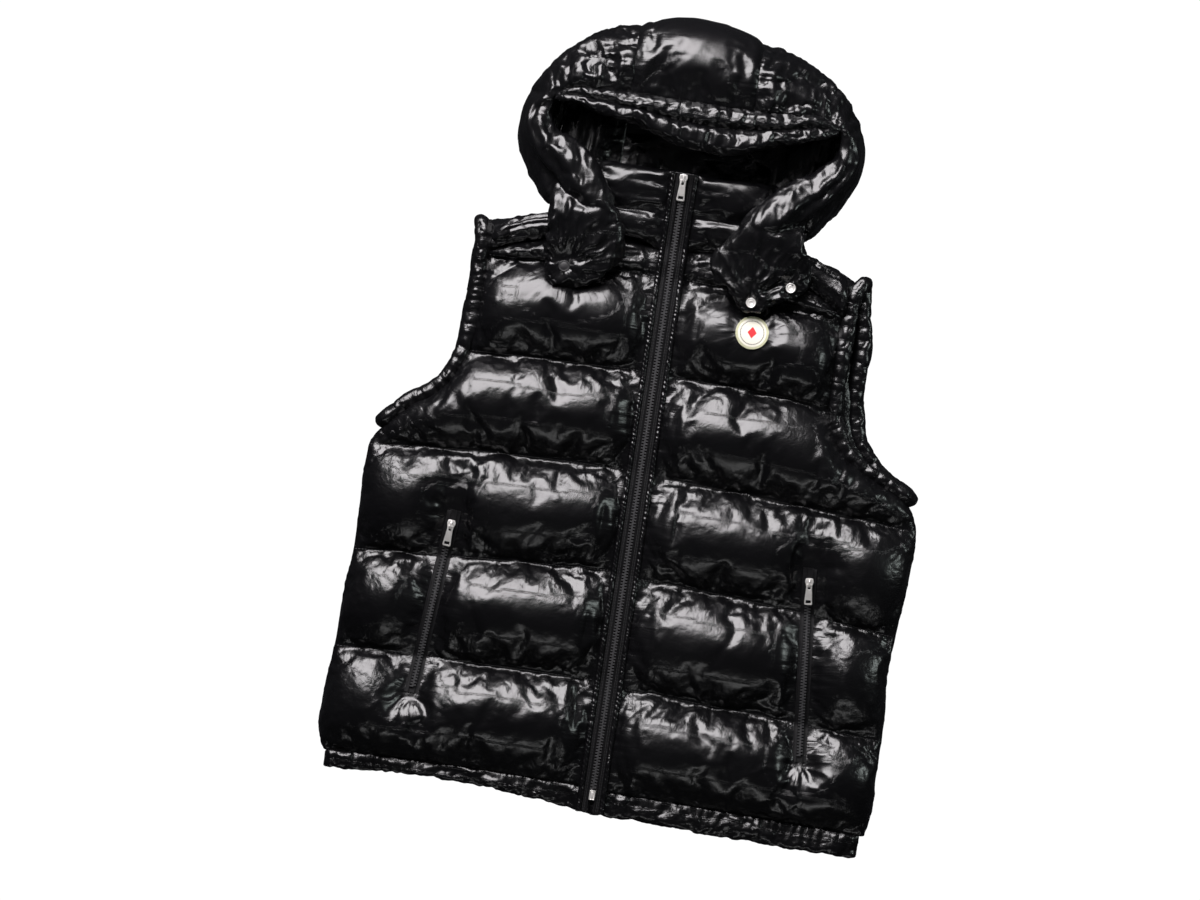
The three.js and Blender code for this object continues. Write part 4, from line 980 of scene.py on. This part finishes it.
for side, sign, seed in (("right", -1, 3), ("left", 1, 8)):
    solid = tree_over(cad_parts[f"zip_tape_{side}"].data)
    gathered_roll(f"zip_gathers_{side}", (sign * 12.2, ZIP_LOW), (sign * 12.2, ZIP_TOP), 6.4, 0.0036,
                  solid, seed)

# %% [markdown]
# ## Teeth
#
# A moulded tooth is a small block with a wider head that locks between its neighbours. One tooth is
# modelled, and the rest are copies, half a pitch apart on the two tapes.

# %% One tooth
def one_tooth():
    """A small block with a wider head on one side."""
    bpy.ops.object.select_all(action="DESELECT")
    bpy.ops.mesh.primitive_cube_add(size=1, location=(0, 0, 0))
    tooth = newest("tooth")
    edit_all(tooth, lambda: bpy.ops.transform.resize(value=(0.0031, 0.0017, 0.0022)))
    pick(tooth, lambda face: face.normal.x > 0.9)
    bpy.ops.mesh.extrude_region_move(TRANSFORM_OT_translate={"value": (0.0012, 0, 0)})
    bpy.ops.transform.resize(value=(1, 1.35, 0.85))
    bpy.ops.object.mode_set(mode="OBJECT")
    apply_modifier(tooth, "BEVEL", width=0.00022, segments=1, limit_method="ANGLE")
    return tooth


def copies(name, model, spots):
    """One mesh of many copies of a small model, each at its own place and turn."""
    points = coordinates(model.data)
    faces = [list(p.vertices) for p in model.data.polygons]
    all_points, all_faces = [], []
    for spot in spots:
        start = len(all_points)
        all_points += [spot @ Vector(p) for p in points]
        all_faces += [[start + i for i in face] for face in faces]
    mesh = bpy.data.meshes.new(name)
    mesh.from_pydata([tuple(p) for p in all_points], [], all_faces)
    obj = bpy.data.objects.new(name, mesh)
    bpy.context.collection.objects.link(obj)
    return obj


TOOTH = one_tooth()
TOOTH_PITCH = 3.1


# %% Rows of teeth
def chain(name, node, start, end, tree, sink):
    """Two facing rows of teeth along a line, sunk a little into the height of their solid."""
    first, last = to_frame(*start), to_frame(*end)
    run = last - first
    turn = math.atan2(run.y, run.x) - math.pi / 2
    spots = []
    count = int(run.length * 1000 / TOOTH_PITCH)
    for i in range(2 * count):
        side = i % 2
        spot = first + run * ((i + 0.5) / (2 * count))
        height, _ = dropped(tree, spot.x, spot.y)
        facing = turn + (math.pi if side else 0)
        place = Matrix.Translation((spot.x, spot.y, height - sink)) @ Matrix.Rotation(facing, 4, "Z")
        spots.append(place @ Matrix.Translation((-0.0017, 0, 0)))
    teeth = copies(name, TOOTH, spots)
    finish_piece(teeth, PLASTIC, [node], sharp=25)
    print(name, len(spots), "teeth")
    return teeth


chain_tree = tree_over(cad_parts["zip_chain"].data)
chain("front_zip_teeth", "zip_chain", (0, 14.5), (0, 656), chain_tree, 0.0013)

# %% [markdown]
# ## Pocket zips
#
# The two pockets have the same zip at a slant, on one tape each, with its opening between two cords.

# %% Pockets
POCKET_LINES = {"right": ((-203.9, 87), (-187.1, 283)), "left": ((209.8, 75), (191.1, 278))}


def between(line, share):
    """A point part of the way along a line."""
    (x0, y0), (x1, y1) = line
    return (x0 + (x1 - x0) * share, y0 + (y1 - y0) * share)


for side in ("right", "left"):
    line = POCKET_LINES[side]
    solid = tree_over(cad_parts[f"pocket_tape_{side}"].data)
    ribbon = strip(f"pocket_zip_tape_{side}", *line, 14.6, 18, 60)
    settle(ribbon, solid, -0.0003)
    lengthwise(ribbon, *line, 3.6, 0.0006)
    lengthwise(ribbon, *line, 6.0, -0.0003)
    apply_modifier(ribbon, "SOLIDIFY", thickness=0.0009, offset=-1)
    finish_piece(ribbon, TAPE, [f"pocket_tape_{side}"])
    teeth_tree = tree_over(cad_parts[f"pocket_chain_{side}"].data)
    chain(f"pocket_zip_teeth_{side}", f"pocket_chain_{side}", between(line, 0.03), between(line, 0.885),
          teeth_tree, 0.0008)

# %% [markdown]
# ## Sliders, pulls and the retaining box
#
# The solids already have the right shape and hang on the right hinges, so each is copied, merged,
# and given the small rounded edges of cast metal. The pulls ride on their own bodies.

# %% Cast metal
def cast(node, name, body, round_off):
    """A copy of a solid with rounded edges, in metal."""
    obj = bpy.data.objects.new(name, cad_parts[node].data.copy())
    bpy.context.collection.objects.link(obj)
    edit_all(obj, lambda: bpy.ops.mesh.remove_doubles(threshold=1e-6),
             lambda: bpy.ops.mesh.dissolve_limited(angle_limit=math.radians(2)))
    apply_modifier(obj, "BEVEL", width=round_off, segments=2, limit_method="ANGLE",
                   angle_limit=math.radians(35))
    finish_piece(obj, NICKEL, [node], body, 30)
    return obj


for place in ("front", "pocket_right", "pocket_left"):
    cast(f"slider_{place}", f"cast_slider_{place}", "vest", 0.0003)
    cast(f"pull_{place}", f"cast_pull_{place}", f"pull_{place}", 0.00018)


# %% Retaining box
low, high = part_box("zip_box")
bpy.ops.object.select_all(action="DESELECT")
bpy.ops.mesh.primitive_cube_add(size=1, location=[(a + b) / 2 for a, b in zip(low, high)])
box = newest("zip_retaining_box")
box.scale = [b - a for a, b in zip(low, high)]
bpy.ops.object.transform_apply(location=True, rotation=True, scale=True)
pick(box, lambda face: face.normal.z > 0.9)
bpy.ops.mesh.inset(thickness=0.0009)
bpy.ops.mesh.extrude_region_move(TRANSFORM_OT_translate={"value": (0, 0, -0.0007)})
bpy.ops.mesh.inset(thickness=0.0008)
bpy.ops.mesh.extrude_region_move(TRANSFORM_OT_translate={"value": (0, 0, 0.0006)})
bpy.ops.object.mode_set(mode="OBJECT")
apply_modifier(box, "BEVEL", width=0.0003, segments=2, limit_method="ANGLE")
finish_piece(box, NICKEL, ["zip_box"])

# %% [markdown]
# ## Studs
#
# The hood's right flap shows the cap of its stud, lacquered black. The left flap is turned so that
# two ring-shaped sockets show, bare nickel with a small spring inside. Both are turned parts: a disc
# whose face is inset and pushed in and out in steps.

# %% Turned studs
def turned(name, node, steps, material, round_off):
    """A disc as large as its solid; each step insets its face and moves it in or out."""
    low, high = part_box(node)
    bpy.ops.object.select_all(action="DESELECT")
    bpy.ops.mesh.primitive_cylinder_add(vertices=40, radius=(high[0] - low[0]) / 2,
                                        depth=high[2] - low[2],
                                        location=[(a + b) / 2 for a, b in zip(low, high)])
    stud = newest(name)
    bpy.ops.object.transform_apply(location=True, rotation=True, scale=True)
    pick(stud, lambda face: face.normal.z > 0.9)
    for inward, lift in steps:
        bpy.ops.mesh.inset(thickness=inward)
        bpy.ops.mesh.extrude_region_move(TRANSFORM_OT_translate={"value": (0, 0, lift)})
    bpy.ops.object.mode_set(mode="OBJECT")
    apply_modifier(stud, "BEVEL", width=round_off, segments=2, limit_method="ANGLE")
    return finish_piece(stud, material, [node], sharp=35)


turned("lacquered_cap", "snap_cap_right", [(0.0011, -0.0003), (0.0006, 0.0004)], LACQUER,
       0.0003)
for place in ("inner", "outer"):
    turned(f"ring_socket_{place}", f"snap_ring_left_{place}",
           [(0.0008, -0.0004), (0.0005, -0.0006), (0.0011, 0.0007), (0.0005, -0.0006)], NICKEL,
           0.00012)

# %% [markdown]
# ## The badge
#
# A round cloth patch sits high on the left front. It is kept plain: cream cloth, a stitched edge, a
# dashed ring and one small red lozenge, all drawn from the distance to its middle. Felt is stiffer
# than the shell, so the patch takes the smoothest curve that fits the cloth under it.

# %% Patch cloth
BADGE = to_frame(94, 513)
BADGE_RADIUS = 0.0174


def patch_cloth():
    f = Finish("patch_cloth")
    x, y, _ = f.axes(f.place(centre=tuple(BADGE)))
    radius = (x * x + y * y) ** 0.5
    around = y.math("ARCTAN2", x)
    dashes = (around * 46.0).math("SINE") > -0.35
    ring = (abs(radius - 0.0124) < 0.00055) * dashes
    lozenge = (abs(x) * 1.25 + abs(y)) < 0.0062
    rim = radius > 0.0150
    thread = f.noise(f.place(scale=(1, 1, 1)), 1500.0, 1.0)
    satin = (around * 150.0).math("SINE") * rim
    cream = f.mix(thread, (0.56, 0.54, 0.45, 1), (0.74, 0.72, 0.63, 1))
    edged = f.mix(rim, cream, (0.5, 0.5, 0.33, 1))
    ringed = f.mix(ring, edged, (0.02, 0.02, 0.025, 1))
    colour = f.mix(lozenge, ringed, (0.5, 0.02, 0.026, 1))
    return f.ends(Base_Color=colour, Roughness=0.75 + 0.15 * thread,
                  Normal=f.bump(thread + 0.8 * satin, 0.0002, 0.8))


# %% Patch
PATCH_LIFT = 0.0016
RIM_OUT, RIM_WIDE, RIM_RISE = 0.0162, 0.0008, 0.0007

bpy.ops.object.select_all(action="DESELECT")
bpy.ops.mesh.primitive_circle_add(vertices=72, radius=BADGE_RADIUS, fill_type="TRIFAN", location=BADGE)
patch = newest("round_patch")
bpy.ops.object.transform_apply(location=True, rotation=True, scale=True)
edit_all(patch, lambda: bpy.ops.mesh.subdivide(number_cuts=5))
settle(patch, tree_over(dressed["front_left"].data))
places = coordinates(patch.data)
x, y = places[:, 0] - BADGE.x, places[:, 1] - BADGE.y
terms = np.stack([np.ones_like(x), x, y, x * x, x * y, y * y], axis=1)
curve, _, _, _ = np.linalg.lstsq(terms, places[:, 2], rcond=None)
rim = np.exp(-(((np.hypot(x, y) - RIM_OUT) / RIM_WIDE) ** 2))
places[:, 2] = terms @ curve + PATCH_LIFT + RIM_RISE * rim
set_coordinates(patch.data, places)
edit_all(patch, lambda: bpy.ops.mesh.normals_make_consistent(inside=False))
apply_modifier(patch, "SOLIDIFY", thickness=0.0019, offset=-1)
finish_piece(patch, patch_cloth(), ["badge"], sharp=60)

# %% [markdown]
# ## Stitches
#
# Every quilting seam is a row of short stitches pulled down into its groove. One stitch is modelled,
# a thin five-sided rod with tapered ends, and copies are dropped on the dressed cloth.

# %% One stitch
def one_stitch():
    """A short rod with tapered ends, bent down into the cloth."""
    bpy.ops.object.select_all(action="DESELECT")
    bpy.ops.mesh.primitive_cylinder_add(vertices=5, radius=0.00035, depth=0.0019,
                                        rotation=(math.pi / 2, 0, 0), location=(0, 0, 0))
    stitch = newest("stitch")
    bpy.ops.object.transform_apply(location=True, rotation=True, scale=True)
    for end in (1, -1):
        pick(stitch, lambda face: face.normal.y * end > 0.9)
        bpy.ops.mesh.extrude_region_move(TRANSFORM_OT_translate={"value": (0, end * 0.0004, -0.0002)})
        bpy.ops.transform.resize(value=(0.45, 1, 0.45))
        bpy.ops.object.mode_set(mode="OBJECT")
    return stitch


STITCH = one_stitch()


def stitched(name, tree, lines, step=0.0034):
    """Rows of stitches along lines of points, dropped on a surface."""
    spots = []
    for line in lines:
        left = 0.0
        for a, b in zip(line, line[1:]):
            run = b - a
            run.z = 0
            while left < run.length:
                spot = a + run * (left / run.length)
                hit, normal, _, _ = tree.ray_cast(Vector((spot.x, spot.y, 0.2)), Vector((0, 0, -1)))
                if hit is not None:
                    turn = Matrix.Rotation(math.atan2(run.y, run.x) - math.pi / 2, 4, "Z")
                    spots.append(Matrix.Translation(hit + Vector((0, 0, 0.0001))) @ turn)
                left += step
            left -= run.length
    rows = copies(name, STITCH, spots)
    finish_piece(rows, THREAD, sharp=50)
    print(name, len(spots), "stitches")
    return rows


# %% Rows on the fronts and tapes
for side, sign in (("right", -1), ("left", 1)):
    panel = tree_over(dressed[f"front_{side}"].data)
    seams = [[to_frame(sign * x, seam_height(row, x / SIDE_REACH)) for x in range(19, 290, 6)]
             for row in SEAMS[side][1:6]]
    stitched(f"quilting_stitches_{side}", panel, seams)
    tape = tree_over(bpy.data.objects[f"front_zip_tape_{side}"].data)
    stitched(f"tape_stitches_{side}", tape, [
        [to_frame(sign * x, y) for y in range(-8, 664, 8)] for x in (6.3, STITCH_OUT)], 0.003)
    hem = tree_over(dressed[f"hem_front_{side}"].data)
    stitched(f"hem_stitches_{side}", hem, [
        [to_frame(sign * x, seam_height(SEAMS[side][0], x / SIDE_REACH) - 3) for x in range(17, 280, 6)]])

for leftover in (TOOTH, STITCH):
    bpy.data.objects.remove(leftover, do_unlink=True)

added = [obj for obj in bpy.data.objects if obj.type == "MESH" and obj is not floor
         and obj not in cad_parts.values()]
counts = {obj.name: sum(len(p.vertices) - 2 for p in obj.data.polygons) for obj in added}
print(len(counts), "pieces,", sum(counts.values()), "triangles, the largest", max(counts.values()))
